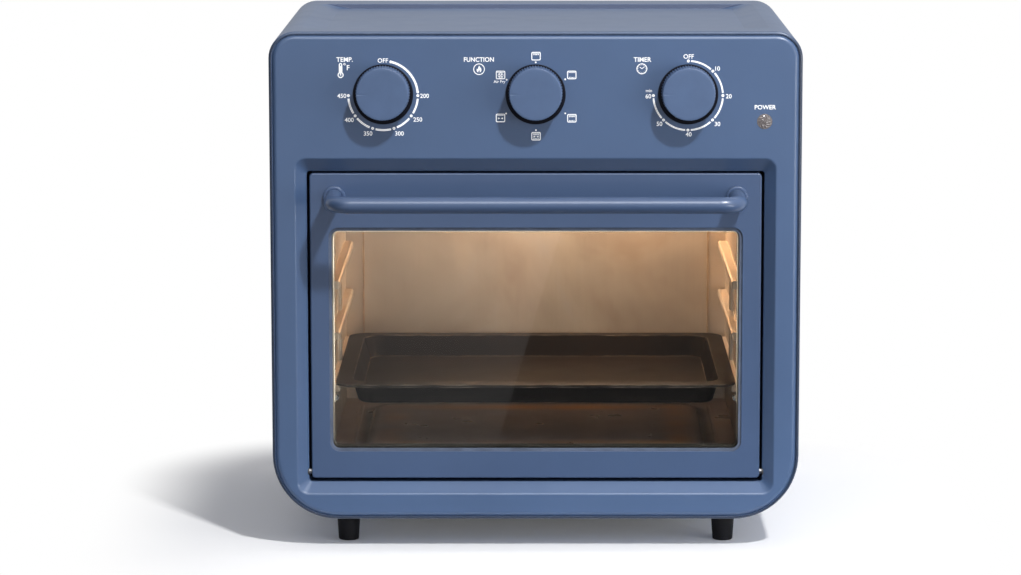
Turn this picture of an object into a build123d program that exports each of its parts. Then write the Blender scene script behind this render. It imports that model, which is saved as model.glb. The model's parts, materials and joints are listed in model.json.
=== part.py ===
from build123d import *
from math import cos, radians, sin
import os

# A countertop toaster oven: three knobs over a drop-down glass door, a sheet metal chamber with rack rails,
# tube heaters, a convection fan and a painted steel case on four feet.
# Millimetres. X is to the right, Y runs back from the control panel's face, Z is up from the table.
# Each piece is drawn in those terms, and save() moves it so that the origin is under the middle of the oven.

# Clearances
side_gap = 0.3  # between two pieces that lie side by side
shaft_gap = 0.05  # radial, round a shaft, pin or screw

# Case
case_width = 380.0
case_height = 353.5
case_depth = 285.0
case_top_radius = 19.0
case_bottom_radius = 47.0
case_sheet = 0.8
cover_sheet = 1.0
rear_flange = 13.0
bottom_margin_side = 72.0
bottom_margin_end = 42.0
recess_depth = 3.4
recess_margin_side = 22.0
recess_margin_front = 26.0
recess_margin_rear = 35.0
recess_radius = 10.0
recess_slope = 16.0
recess_rear_slope = 0.8
vent_length = 26.0
vent_width = 3.2
vent_pitch = 9.0
vent_rows = 2
vent_margin_side = 106.0
vent_margin_top = 27.0

# Feet
foot_height = 21.9
foot_top_radius = 8.75
foot_base_radius = 7.35
foot_inset_side = 53.0
foot_inset_end = 35.0

# Front panel
panel_sheet = 1.2
control_height = 100.5
side_border = 26.0
lower_border = 26.4
rim_width = 1.9
rim_depth = 5.0
rim_setback = 1.0
rim_round = 1.6
groove_width = 0.5
groove_depth = 1.4
face_round = 3.5
bevel_depth = 8.0
bevel_width = 7.8
bevel_top = 9.9
bevel_radius = 8.0
bevel_round = 2.0
pocket_radius = 2.5

# Door
door_setback = 7.0
door_thickness = 16.0
door_back_gap = 1.0
door_side_gap = 2.0
door_top_gap = 1.6
door_bottom_gap = 2.7
door_sheet = 1.2
door_radius = 2.8
door_inner_radius = 0.6
door_stile = 13.4
door_bottom_rail = 19.6
door_top_rail = 39.3
window_radius = 7.0
inner_sheet = 1.0
gasket_lip = 2.2
gasket_thickness = 1.0
inner_lip = 0.8
glass_thickness = 4.0
glass_lap = 8.0

# Handle
bar_radius = 5.8
bar_reach = 45.0
bar_drop = 17.1
bar_end_margin = 17.8
bar_bend = 13.0
collar_radius = 8.0
collar_thickness = 3.0

# Hinge, its arms and springs
hinge_pin_radius = 2.0
hinge_pin_head = 2.6
hinge_pin_head_thickness = 2.0
hinge_height = 4.4
hinge_setback = 4.0
bush_radius = 4.0
bush_flange = 5.0
bush_flange_thickness = 2.0
bush_length = 6.0
arm_radius = 40.0
arm_width = 6.0
arm_sheet = 1.5
arm_offset = 2.0
arm_start_angle = 77.0
arm_end_angle = -26.0
arm_ear = 3.0
arm_ear_angle = 5.0
arm_foot_height = 22.0
arm_foot = 4.0
slot_gap = 0.8
spring_radius = 3.4
spring_wire = 0.6
spring_pitch = 2.6
spring_turns = 30
spring_ring = 3.0
anchor_height = 24.0

# Chamber
mouth_margin_side = 14.5
mouth_margin_bottom = 13.7
mouth_margin_top = 12.9
mouth_radius = 3.0
chamber_sheet = 0.8
rear_space = 19.0
frame_margin = 6.0
rail_height = 6.0
rail_depth = 6.5
rail_round = 1.0
rail_inset_front = 21.0
rail_inset_rear = 12.0
rail_first = 51.6
rail_step = 38.0
rail_count = 3
rib_width = 8.0
rib_depth = 3.0
emboss_height = 3.0
emboss_margin_side = 23.5
emboss_margin_front = 24.0
emboss_margin_rear = 35.0
emboss_radius = 22.0
bead_margin = 14.5
bead_width = 3.0
bead_height = 1.2
back_emboss_margin = 13.5
back_emboss_depth = 2.0

# Baking tray
tray_sheet = 0.8
tray_rim_gap = 3.5
tray_front_gap = 3.2
tray_rear_gap = 8.0
tray_flange = 12.0
tray_depth = 16.5
tray_slope = 5.0
tray_radius = 16.0
tray_bead = 2.0
hook_radius = 1.5
hook_length = 9.0
hook_drop = 7.0

# Heaters
heater_radius = 3.25
heater_inset_end = 56.0
upper_heater_drop = 12.0
lower_heater_drop = 16.0
insulator_radius = 5.0
insulator_flange = 8.0
insulator_flange_thickness = 3.0
heater_end = 7.0
bracket_inset = 9.0
bracket_sheet = 1.5
bracket_foot = 8.0
bracket_overhang = 22.0

# Fan
fan_shaft_radius = 3.0
fan_shaft_gap = 1.5
hot_wheel_radius = 48.0
hot_wheel_height = 10.0
hot_wheel_gap = 4.0
cooling_wheel_radius = 34.0
cooling_wheel_height = 12.0
cooling_wheel_gap = 5.0
wheel_blades = 12
wheel_sheet = 1.0
wheel_hub_radius = 7.0
guard_radius = 60.0
guard_depth = 20.0
guard_slots = 24
motor_radius = 30.0
motor_height = 32.0
motor_stand = 22.0
motor_leg_gap = 10.0

# Chamber lamp
lamp_inset = 51.5
lamp_bore = 9.0
lamp_wall = 3.0
lamp_height = 24.0
bulb_radius = 6.5
bulb_length = 26.0
lens_radius = 17.0
lens_drop = 8.0
lens_wall = 2.0

# Knobs and what they turn
knob_spacing = 108.5
knob_drop = 43.1
knob_radius = 19.3
knob_depth = 17.0
knob_lift = 2.0
knob_taper = 1.5
knob_wall = 2.3
knob_hub_radius = 6.0
knob_notch = 3.2
knob_notch_width = 1.0
knob_round = 1.2
ring_margin = 2.1
ring_drop = 1.5
ring_width = 4.0
ring_thickness = 1.5
knob_shaft_radius = 3.0
knob_shaft_in_body = 9.0
control_screw_radius = 1.5
control_screw_offset = 10.5
control_screw_head = 2.8
control_screw_reach = 3.0
thermostat_size = (36.0, 24.0, 36.0)
switch_size = (34.0, 38.0, 34.0)
timer_radius = 22.0
timer_depth = 30.0
bell_radius = 17.0
bell_depth = 9.0
bell_sheet = 1.0
bell_post_radius = 2.5
control_plate = 2.0
tag_count = 4
tag_pitch = 7.0
tag_width = 4.8
tag_length = 7.0

# Power lamp
power_inset = 26.9
power_drop = 64.0
power_radius = 5.3
power_rise = 1.6
power_lip = 1.2
power_holder_radius = 7.5
power_holder_depth = 14.0

# Screws
screw_radius = 2.0
screw_head_radius = 3.8
screw_head_height = 2.2
screw_length = 8.0
screw_drive_width = 0.8
screw_drive_depth = 1.2

# Mains inlet
gland_inset = 60.0
gland_height = 40.0
gland_bore = 3.7
gland_radius = 7.5
gland_flange = 11.0
gland_reach = 9.0
gland_flange_thickness = 2.0
gland_taper = 1.5
gland_clip = 4.0
block_size = (26.0, 40.0, 18.0)
block_gap = 4.0

# Places worked out from the sizes
half_width = case_width / 2
base_z = foot_height
top_z = foot_height + case_height
cover_front = case_depth - cover_sheet
pocket_half = half_width - side_border
pocket_low = base_z + lower_border
pocket_high = top_z - control_height
pocket_back = door_setback + door_thickness + door_back_gap
door_half = pocket_half - door_side_gap
door_low = pocket_low + door_bottom_gap
door_high = pocket_high - door_top_gap
door_back = door_setback + door_thickness
window_half = door_half - door_stile
window_low = door_low + door_bottom_rail
window_high = door_high - door_top_rail
glass_front = door_setback + door_sheet + gasket_thickness
glass_back = glass_front + glass_thickness
hinge_y = door_setback + hinge_setback
hinge_z = door_low + hinge_height
bar_y = door_setback - bar_reach
bar_z = door_high - bar_drop
bar_leg_x = door_half - bar_end_margin
chamber_half = pocket_half - mouth_margin_side
chamber_low = pocket_low + mouth_margin_bottom
chamber_high = pocket_high - mouth_margin_top
chamber_front = pocket_back + chamber_sheet
chamber_back = case_depth - rear_space
chamber_middle = (chamber_front + chamber_back) / 2
pan_top = base_z + case_sheet + chamber_sheet
arm_x = chamber_half + chamber_sheet + arm_offset
rail_low_z = chamber_low + rail_first
tray_half = chamber_half - tray_rim_gap
tray_front = chamber_front + tray_front_gap
tray_back = chamber_back - tray_rear_gap
tray_rim_z = rail_low_z + side_gap + tray_bead
heater_ys = (chamber_front + heater_inset_end, chamber_back - heater_inset_end)
bracket_x = chamber_half - bracket_inset
lamp_x = chamber_half - lamp_inset
knob_z = top_z - knob_drop
knob_xs = {"temperature": -knob_spacing, "function": 0.0, "timer": knob_spacing}
ring_radius = knob_radius + ring_margin
ring_z = knob_z - ring_drop
shaft_back = panel_sheet + control_plate + knob_shaft_in_body
control_screw_back = panel_sheet + control_plate + control_screw_reach
power_x = half_width - power_inset
power_z = top_z - power_drop
frame_y = (bar_reach + bar_radius - door_setback - case_depth - gland_reach) / 2


def save(node, piece):
    export_step(Pos(0, frame_y, 0) * piece, f"parts/{node}.step")


def group(*pieces):
    return Compound([solid for piece in pieces for solid in piece.solids()])


def both_sides(piece):
    return group(piece, mirror(piece, about=Plane.YZ))


def box(x0, x1, y0, y1, z0, z1):
    return Pos((x0 + x1) / 2, (y0 + y1) / 2, (z0 + z1) / 2) * Box(x1 - x0, y1 - y0, z1 - z0)


def disc_x(radius, y, z, x0, x1):
    return Pos((x0 + x1) / 2, y, z) * Rot(0, 90, 0) * Cylinder(radius, x1 - x0)


def disc_y(radius, x, z, y0, y1):
    return Pos(x, (y0 + y1) / 2, z) * Rot(90, 0, 0) * Cylinder(radius, y1 - y0)


def disc_z(radius, x, y, z0, z1):
    return Pos(x, y, (z0 + z1) / 2) * Cylinder(radius, z1 - z0)


def front_rect(half, low, high, radius):
    """A rounded rectangle seen from the front."""
    return Pos(0, (low + high) / 2) * RectangleRounded(2 * half, high - low, radius)


def case_outline(inset=0.0):
    """The oven's outline seen from the front, with its larger bottom corners."""
    shape = Pos(0, (base_z + top_z) / 2) * Rectangle(case_width - 2 * inset, case_height - 2 * inset)
    shape = fillet(shape.vertices().group_by(Axis.Y)[-1], case_top_radius - inset)
    return fillet(shape.vertices().group_by(Axis.Y)[0], case_bottom_radius - inset)


def facing(y):
    """The upright plane at a depth, drawn on as (x, z)."""
    return Plane(origin=(0, y, 0), x_dir=(1, 0, 0), z_dir=(0, -1, 0))


def slab(shape, front, back):
    """A shape seen from the front, made solid from one depth to another."""
    return extrude(facing(front) * shape, amount=front - back)


def plan_rect(half, front, back, radius):
    return Pos(0, (front + back) / 2) * RectangleRounded(2 * half, back - front, radius)


def layer(shape, low, high):
    """A shape seen from above, made solid from one height to another."""
    return extrude(Pos(0, 0, low) * shape, amount=high - low)


def edges_at_y(piece, y):
    return piece.edges().filter_by_position(Axis.Y, y - 0.01, y + 0.01)


def bevel(grow):
    """The sloped mouth of the door pocket. grow widens it by the thickness of its wall."""
    outer = Pos(0, (pocket_low - bevel_width + pocket_high + bevel_top) / 2) * RectangleRounded(
        2 * (pocket_half + bevel_width + grow),
        pocket_high + bevel_top - pocket_low + bevel_width + 2 * grow,
        bevel_radius + grow,
    )
    inner = front_rect(pocket_half + grow, pocket_low - grow, pocket_high + grow, pocket_radius + grow)
    return loft([facing(0) * outer, facing(bevel_depth) * inner])


def screw_y(x, z, seat, length, direction):
    """A pan head screw along Y. direction is 1 when its shank runs back and -1 when it runs forward."""
    crown = seat - direction * screw_head_height
    drive = sorted((crown, crown + direction * screw_drive_depth))
    arm = screw_radius * 1.1
    head = disc_y(screw_head_radius, x, z, *sorted((seat, crown)))
    head = chamfer(edges_at_y(head, crown), screw_head_height / 4)
    head -= box(x - screw_drive_width / 2, x + screw_drive_width / 2, *drive, z - arm, z + arm)
    head -= box(x - arm, x + arm, *drive, z - screw_drive_width / 2, z + screw_drive_width / 2)
    return head + disc_y(screw_radius, x, z, *sorted((seat, seat + direction * length)))


# Case


def front_fascia():
    rim = slab(case_outline(), rim_setback, rim_depth)
    rim = fillet(edges_at_y(rim, rim_setback), rim_round)
    groove = case_outline(rim_width) - case_outline(rim_width + groove_width)
    rim -= slab(groove, rim_setback, rim_setback + groove_depth)
    rim -= slab(case_outline(rim_width + groove_width), 0, rim_setback + groove_depth)
    face = slab(case_outline(rim_width + groove_width), 0, pocket_back)
    face = fillet(edges_at_y(face, 0), face_round)
    spigot_inset = case_sheet + side_gap
    spigot = slab(case_outline(spigot_inset), rim_depth, pocket_back)
    fascia = rim + face + spigot
    pocket = bevel(0) + slab(
        front_rect(pocket_half, pocket_low, pocket_high, pocket_radius), bevel_depth, pocket_back
    )
    fascia -= pocket
    fascia = fillet(edges_at_y(fascia, 0).filter_by(lambda edge: in_pocket_mouth(edge)), bevel_round)
    skin = bevel(panel_sheet) + slab(
        front_rect(
            pocket_half + panel_sheet,
            pocket_low - panel_sheet,
            pocket_high + panel_sheet,
            pocket_radius + panel_sheet,
        ),
        bevel_depth,
        pocket_back,
    )
    behind_rim = rim_setback + groove_depth + panel_sheet
    hollow = slab(case_outline(spigot_inset + panel_sheet), behind_rim, pocket_back)
    behind_round = rim_width + groove_width + panel_sheet * 1.5
    hollow += slab(case_outline(behind_round), panel_sheet, behind_rim)
    fascia -= hollow - skin
    for x in knob_xs.values():
        fascia -= disc_y(knob_shaft_radius + 1.0, x, knob_z, 0, panel_sheet)
        for side in (-1, 1):
            screw_x = x + side * control_screw_offset
            fascia -= disc_y(control_screw_radius + shaft_gap, screw_x, knob_z, 0, panel_sheet)
    fascia -= disc_y(power_radius + shaft_gap, power_x, power_z, 0, panel_sheet)
    for side in (-1, 1):
        ends = sorted((side * pocket_half, side * (pocket_half + bush_length - bush_flange_thickness)))
        fascia -= disc_x(bush_radius + shaft_gap, hinge_y, hinge_z, *ends)
    return fascia


def in_pocket_mouth(edge):
    """True for the edges round the mouth of the door pocket, on the panel's face."""
    middle = edge.center()
    inside_width = abs(middle.X) < pocket_half + bevel_width + 1
    return inside_width and pocket_low - bevel_width - 1 < middle.Z < pocket_high + bevel_top + 1


def outer_case():
    front = rim_depth + side_gap
    shell = slab(case_outline() - case_outline(case_sheet), front, cover_front)
    flange = case_outline() - case_outline(rear_flange)
    shell += slab(flange, cover_front - case_sheet, cover_front)
    opening = plan_rect(
        half_width - bottom_margin_side, bottom_margin_end, case_depth - bottom_margin_end, recess_radius
    )
    shell -= layer(opening, base_z, base_z + case_sheet)
    shell += recess(case_sheet)
    shell -= recess(0)
    for x, y in foot_places():
        shell -= disc_z(screw_radius + shaft_gap, x, y, base_z, base_z + case_sheet)
    for x, z in rear_screw_places():
        shell -= disc_y(screw_radius + shaft_gap, x, z, cover_front - case_sheet, cover_front)
    return shell


def recess(grow):
    """The dip in the top, with long slopes at its sides and front. grow adds its sheet's thickness."""
    half = half_width - recess_margin_side + grow
    front = recess_margin_front - grow
    back = case_depth - recess_margin_rear + grow
    mouth = plan_rect(half, front, back, recess_radius + grow)
    floor = plan_rect(
        half - recess_slope, front + recess_slope, back - recess_rear_slope, recess_radius + grow
    )
    return loft([Pos(0, 0, top_z - recess_depth - grow) * floor, Pos(0, 0, top_z) * mouth])


def foot_places():
    xs = (-half_width + foot_inset_side, half_width - foot_inset_side)
    ys = (foot_inset_end, case_depth - foot_inset_end)
    return [(x, y) for y in ys for x in xs]


def rear_screw_places():
    inset = rear_flange / 2
    side_zs = (base_z + case_bottom_radius + 20, top_z - case_top_radius - 20)
    sides = [(side * (half_width - inset), z) for z in side_zs for side in (-1, 1)]
    return sides + [(0, base_z + inset), (0, top_z - inset)]


def rear_cover():
    cover = slab(case_outline(), cover_front, case_depth)
    cover = chamfer(edges_at_y(cover, case_depth), cover_sheet / 3)
    slot = SlotOverall(vent_length, vent_width, rotation=90)
    columns = int((case_width - 2 * vent_margin_side) / vent_pitch)
    slots = []
    for row in range(vent_rows):
        for column in range(columns):
            x = (column - (columns - 1) / 2) * vent_pitch
            z = top_z - vent_margin_top - vent_length / 2 - row * (vent_length + vent_pitch)
            slots.append(Pos(x, z) * slot)
    cover -= slab(Sketch() + slots, cover_front, case_depth)
    for x, z in rear_screw_places():
        cover -= disc_y(screw_radius + shaft_gap, x, z, cover_front, case_depth)
    return cover - disc_y(gland_radius + shaft_gap, *gland_place(), cover_front, case_depth)


def rear_screws():
    return group(*[screw_y(x, z, case_depth, screw_length, -1) for x, z in rear_screw_places()])


def base_pan():
    half = half_width - case_bottom_radius
    shape = plan_rect(half, pocket_back + chamber_sheet, cover_front - case_sheet, 4)
    slot = SlotOverall(vent_length, vent_width, rotation=90)
    columns = int((case_width - 2 * bottom_margin_side) / vent_pitch) - 2
    rows = int((case_depth - 2 * bottom_margin_end) / (vent_length + vent_pitch)) - 1
    slots = []
    for row in range(rows):
        for column in range(columns):
            x = (column - (columns - 1) / 2) * vent_pitch
            y = case_depth / 2 + (row - (rows - 1) / 2) * (vent_length + vent_pitch)
            slots.append(Pos(x, y) * slot)
    pan = layer(shape - slots, base_z + case_sheet, pan_top)
    for x, y in foot_places():
        pan -= disc_z(screw_radius + shaft_gap, x, y, base_z + case_sheet, pan_top)
    return pan


def foot(x, y):
    """A tapered foot with a screw well in its underside."""
    body = Pos(x, y, foot_height / 2) * Cone(foot_base_radius, foot_top_radius, foot_height)
    body = fillet(body.edges().group_by(Axis.Z)[0], 1.0)
    body -= disc_z(screw_head_radius + side_gap, x, y, 0, foot_height / 2)
    return body - disc_z(screw_radius + shaft_gap, x, y, foot_height / 2, foot_height)


def foot_screws():
    seat = foot_height / 2
    top = pan_top + 3
    screws = []
    for x, y in foot_places():
        head = disc_z(screw_head_radius, x, y, seat - screw_head_height, seat)
        screws.append(head + disc_z(screw_radius, x, y, seat, top))
    return group(*screws)


def gland_place():
    return -half_width + gland_inset, base_z + gland_height


def cord_gland():
    x, z = gland_place()
    flange_back = case_depth + gland_flange_thickness
    nose_length = gland_reach - gland_flange_thickness
    nose = Cone(gland_radius, gland_radius - gland_taper, nose_length)
    inner_end = cover_front - gland_clip
    gland = disc_y(gland_flange, x, z, case_depth, flange_back)
    gland += Pos(x, flange_back + nose_length / 2, z) * Rot(-90, 0, 0) * nose
    gland += disc_y(gland_radius, x, z, inner_end, case_depth)
    gland += disc_y((gland_radius + gland_flange) / 2, x, z, inner_end, cover_front)
    return gland - disc_y(gland_bore, x, z, inner_end, case_depth + gland_reach)


# Door


def door_frame():
    frame = slab(front_rect(door_half, door_low, door_high, door_radius), door_setback, door_back)
    frame = fillet(edges_at_y(frame, door_setback), door_sheet - 0.2)
    inside = front_rect(
        door_half - door_sheet, door_low + door_sheet, door_high - door_sheet, door_inner_radius
    )
    frame -= slab(inside, door_setback + door_sheet, door_back)
    window = front_rect(window_half, window_low, window_high, window_radius)
    frame -= slab(window, door_setback, door_setback + door_sheet)
    for side in (-1, 1):
        ends = sorted((side * door_half, side * (door_half - door_sheet)))
        frame -= disc_x(hinge_pin_radius + shaft_gap, hinge_y, hinge_z, *ends)
        x = side * bar_leg_x
        frame -= disc_y(screw_radius + shaft_gap, x, bar_z, door_setback, door_setback + door_sheet)
    return frame


def glass_outline():
    return front_rect(
        window_half + glass_lap, window_low - glass_lap, window_high + glass_lap, window_radius
    )


def sight_outline(grow=0.0):
    """The clear opening inside the gasket's lip."""
    shrink = gasket_lip - grow
    return front_rect(
        window_half - shrink, window_low + shrink, window_high - shrink, window_radius - shrink
    )


def door_gasket():
    front = door_setback + door_sheet
    return slab(glass_outline() - sight_outline(), front, glass_front)


def door_glass():
    return slab(glass_outline(), glass_front, glass_back)


def door_inner_panel():
    front = door_back - inner_sheet
    plate = front_rect(
        door_half - door_sheet - side_gap / 3,
        door_low + door_sheet + side_gap / 3,
        door_high - door_sheet - side_gap / 3,
        door_inner_radius,
    )
    opening = sight_outline(-inner_lip)
    panel = slab(plate - opening, front, door_back)
    panel += slab(sight_outline(inner_sheet - inner_lip) - opening, glass_back, front)
    for side in (-1, 1):
        low, high = arm_band_at(front, door_back)
        ends = sorted((side * (arm_x - slot_gap), side * (arm_x + arm_sheet + slot_gap)))
        panel -= box(*ends, front, door_back, low - slot_gap, high + slot_gap)
    return panel


def handle_bar():
    path = FilletPolyline(
        (-bar_leg_x, door_setback, bar_z),
        (-bar_leg_x, bar_y, bar_z),
        (bar_leg_x, bar_y, bar_z),
        (bar_leg_x, door_setback, bar_z),
        radius=bar_bend,
    )
    section = Plane(origin=path @ 0, z_dir=path % 0) * Circle(bar_radius)
    bar = sweep(section, path=path)
    for side in (-1, 1):
        bore_end = door_setback - screw_length
        bar -= disc_y(screw_radius + shaft_gap, side * bar_leg_x, bar_z, bore_end, door_setback)
    return bar


def handle_collars():
    x = bar_leg_x
    collar = disc_y(collar_radius, x, bar_z, door_setback - collar_thickness, door_setback)
    collar = fillet(edges_at_y(collar, door_setback - collar_thickness), 0.9)
    collar -= disc_y(bar_radius + shaft_gap, x, bar_z, door_setback - collar_thickness, door_setback)
    return both_sides(collar)


def handle_screws():
    seat = door_setback + door_sheet
    length = screw_length + door_sheet - 1
    return both_sides(screw_y(bar_leg_x, bar_z, seat, length, -1))


def hinge_pins():
    skin = door_half - door_sheet
    tip = pocket_half + bush_length
    pin = disc_x(hinge_pin_radius, hinge_y, hinge_z, skin, tip)
    pin += disc_x(hinge_pin_head, hinge_y, hinge_z, skin - hinge_pin_head_thickness, skin)
    return both_sides(pin)


def hinge_bushes():
    end = pocket_half + bush_length
    bush = disc_x(bush_radius, hinge_y, hinge_z, pocket_half, end)
    bush += disc_x(bush_flange, hinge_y, hinge_z, end - bush_flange_thickness, end)
    bush -= disc_x(hinge_pin_radius + shaft_gap, hinge_y, hinge_z, pocket_half, end)
    return both_sides(bush)


def arm_band_at(front, back):
    """The heights between which a hinge arm crosses a plate that lies between two depths."""
    inner = arm_radius - arm_width / 2
    outer = arm_radius + arm_width / 2
    low = hinge_z + (inner**2 - (back - hinge_y) ** 2) ** 0.5
    high = hinge_z + (outer**2 - (front - hinge_y) ** 2) ** 0.5
    return low, high


def on_arm(angle, radius=arm_radius):
    return hinge_y + radius * cos(radians(angle)), hinge_z + radius * sin(radians(angle))


def arc_strip(inner, outer, start, end):
    """A strip of a ring round the hinge, drawn in the (y, z) plane between two angles."""
    middle = (start + end) / 2
    sides = [
        ThreePointArc(on_arm(start, outer), on_arm(middle, outer), on_arm(end, outer)),
        Line(on_arm(end, outer), on_arm(end, inner)),
        ThreePointArc(on_arm(end, inner), on_arm(middle, inner), on_arm(start, inner)),
        Line(on_arm(start, inner), on_arm(start, outer)),
    ]
    return make_face(sides)


def side_plate(shape, x, thickness):
    """A shape drawn as (y, z), made solid from x to x + thickness."""
    return extrude(Plane(origin=(x, 0, 0), x_dir=(0, 1, 0), z_dir=(1, 0, 0)) * shape, amount=thickness)


def hinge_arms():
    """Curved arms round the hinge line. An ear on each stops the door when it is down."""
    inner = arm_radius - arm_width / 2
    outer = arm_radius + arm_width / 2
    strip = side_plate(arc_strip(inner, outer, arm_start_angle, arm_end_angle), arm_x, arm_sheet)
    ear = arc_strip(inner - arm_ear, inner + 1, arm_end_angle + arm_ear_angle, arm_end_angle)
    strip += side_plate(ear, arm_x, arm_sheet)
    plate_back = door_back - inner_sheet
    low, high = arm_band_at(plate_back, door_back)
    middle = (low + high) / 2
    foot_low, foot_high = middle - arm_foot_height / 2, middle + arm_foot_height / 2
    strip += box(arm_x - arm_foot, arm_x + arm_sheet, plate_back - arm_sheet, plate_back, foot_low, foot_high)
    hole_y, hole_z = spring_hole()
    strip -= disc_x(spring_wire + side_gap, hole_y, hole_z, arm_x, arm_x + arm_sheet)
    return both_sides(strip)


def spring_hole():
    return on_arm(arm_end_angle + 3)


def coil_reach():
    """How far past a ring's middle the coil starts, so that its first turn just clears the ring."""
    clear = spring_ring + 2 * spring_wire + side_gap
    return max(0, clear**2 - spring_radius**2) ** 0.5


def spring_end():
    hole_y, hole_z = spring_hole()
    return hole_y + 2 * (spring_ring + coil_reach()) + spring_pitch * spring_turns, hole_z


def door_springs():
    """A tension spring for each arm: a coil with a ring at each end."""
    x = arm_x + arm_sheet / 2
    hole_y, z = spring_hole()
    end_y, _ = spring_end()
    ring = Torus(spring_ring, spring_wire)
    front_ring = Pos(x, hole_y + spring_ring, z) * ring
    back_ring = Pos(x, end_y - spring_ring, z) * ring
    path = Helix(spring_pitch, spring_pitch * spring_turns, spring_radius)
    coil = sweep(Plane(origin=path @ 0, z_dir=path % 0) * Circle(spring_wire), path=path, is_frenet=True)
    coil = Pos(x, hole_y + spring_ring + coil_reach(), z) * Rot(-90, 0, 0) * coil
    return both_sides(group(front_ring, coil, back_ring))


def spring_anchors():
    """An upright tab on the base pan that holds the far end of each spring."""
    end_y, end_z = spring_end()
    half = anchor_height / 4
    front, back = end_y - 2.2, end_y + half
    foot_start = bracket_x + bracket_sheet + side_gap
    foot_end = half_width - case_bottom_radius + 4
    tab = box(arm_x, arm_x + arm_sheet, front, back, pan_top + 1.2, end_z + 4)
    tab += box(foot_start, foot_end, front, back, pan_top, pan_top + 2)
    tab += box(foot_start, arm_x + arm_sheet, front, back, pan_top + 1.2, pan_top + 2.4)
    tab -= disc_x(spring_wire + side_gap, end_y, end_z, arm_x, arm_x + arm_sheet)
    return both_sides(tab)


def tray_hooks():
    """Hooks on the door's inside that draw the tray out as the door comes down."""
    x = tray_half - hook_radius
    z = tray_rim_z - tray_bead - hook_drop
    stem = disc_y(hook_radius, x, z, door_back, door_back + hook_length)
    stem = fillet(edges_at_y(stem, door_back + hook_length), hook_radius * 0.9)
    return both_sides(stem)


# Chamber


def chamber_front_frame():
    high = pocket_high + frame_margin
    band = Pos(0, (base_z + high) / 2) * Rectangle(case_width, high - base_z)
    shape = case_outline(case_sheet + side_gap) & band
    shape -= front_rect(chamber_half, chamber_low, chamber_high, mouth_radius)
    frame = slab(shape, pocket_back, chamber_front)
    low, high = arm_band_at(pocket_back, chamber_front)
    for side in (-1, 1):
        ends = sorted((side * (arm_x - slot_gap), side * (arm_x + arm_sheet + slot_gap)))
        frame -= box(*ends, pocket_back, chamber_front, low - slot_gap, high + slot_gap)
    return frame


def pressed_in(wall, depth, front, back, low, high):
    """The right wall with a hollow rib pressed inwards."""
    edge = chamber_half - depth
    rib = box(edge, chamber_half, front, back, low, high)
    rib = chamfer(rib.edges().group_by(Axis.X)[0], rail_round)
    hollow = box(
        edge + chamber_sheet,
        chamber_half + chamber_sheet,
        front + chamber_sheet,
        back - chamber_sheet,
        low + chamber_sheet,
        high - chamber_sheet,
    )
    hollow = chamfer(hollow.edges().group_by(Axis.X)[0], rail_round)
    return wall + rib - hollow


def chamber_wall():
    """The right wall, with its rack rails pressed inwards."""
    outer = chamber_half + chamber_sheet
    wall = box(chamber_half, outer, chamber_front, chamber_back, chamber_low, chamber_high)
    rail_front = chamber_front + rail_inset_front
    rail_back = chamber_back - rail_inset_rear
    for level in range(rail_count):
        top = rail_low_z + level * rail_step
        wall = pressed_in(wall, rail_depth, rail_front, rail_back, top - rail_height, top)
    rib_front = (rail_front + rail_back - rib_width) / 2
    for level in range(rail_count - 1):
        low = rail_low_z + level * rail_step
        high = low + rail_step - rail_height
        wall = pressed_in(wall, rib_depth, rib_front, rib_front + rib_width, low, high)
    for y in heater_ys:
        hole = insulator_radius + shaft_gap
        wall -= disc_x(hole, y, chamber_high - upper_heater_drop, chamber_half, outer)
    return wall


def chamber_roof():
    outer = chamber_half + chamber_sheet
    top = chamber_high + chamber_sheet
    roof = box(-outer, outer, chamber_front, chamber_back + chamber_sheet, chamber_high, top)
    roof -= disc_z(fan_shaft_radius + fan_shaft_gap, 0, chamber_middle, chamber_high, top)
    return roof - disc_z(lamp_bore, lamp_x, chamber_middle, chamber_high, top)


def chamber_floor():
    outer = chamber_half + chamber_sheet
    sheet_low = chamber_low - chamber_sheet
    floor = box(-outer, outer, chamber_front, chamber_back + chamber_sheet, sheet_low, chamber_low)
    half = chamber_half - emboss_margin_side
    front = chamber_front + emboss_margin_front
    back = chamber_back - emboss_margin_rear
    raised = plan_rect(half, front, back, emboss_radius)
    under = plan_rect(
        half - chamber_sheet, front + chamber_sheet, back - chamber_sheet, emboss_radius - chamber_sheet
    )
    panel = layer(raised, chamber_low, chamber_low + emboss_height)
    panel = chamfer(panel.edges().group_by(Axis.Z)[-1], emboss_height * 0.7)
    hollow = layer(under, sheet_low, chamber_low + emboss_height - chamber_sheet)
    hollow = chamfer(hollow.edges().group_by(Axis.Z)[-1], emboss_height * 0.7)
    floor += panel
    bead_x = chamber_half - bead_margin
    bead = box(
        bead_x - bead_width / 2, bead_x + bead_width / 2, front, back, chamber_low, chamber_low + bead_height
    )
    bead = chamfer(bead.edges().filter_by(Axis.Y).group_by(Axis.Z)[-1], bead_height * 0.6)
    return floor + both_sides(bead) - hollow


def chamber_back_wall():
    """The back wall, with a flat panel pressed inwards from its border."""
    sheet_back = chamber_back + chamber_sheet
    wall = box(-chamber_half, chamber_half, chamber_back, sheet_back, chamber_low, chamber_high)
    margin = back_emboss_margin
    raised = front_rect(chamber_half - margin, chamber_low + margin, chamber_high - margin, 6)
    panel = slab(raised, chamber_back - back_emboss_depth, chamber_back)
    panel = chamfer(edges_at_y(panel, chamber_back - back_emboss_depth), back_emboss_depth * 0.6)
    inner = front_rect(
        chamber_half - margin - 2 * chamber_sheet,
        chamber_low + margin + 2 * chamber_sheet,
        chamber_high - margin - 2 * chamber_sheet,
        5,
    )
    hollow = slab(inner, chamber_back - back_emboss_depth + chamber_sheet, sheet_back)
    return wall + panel - hollow


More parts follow.
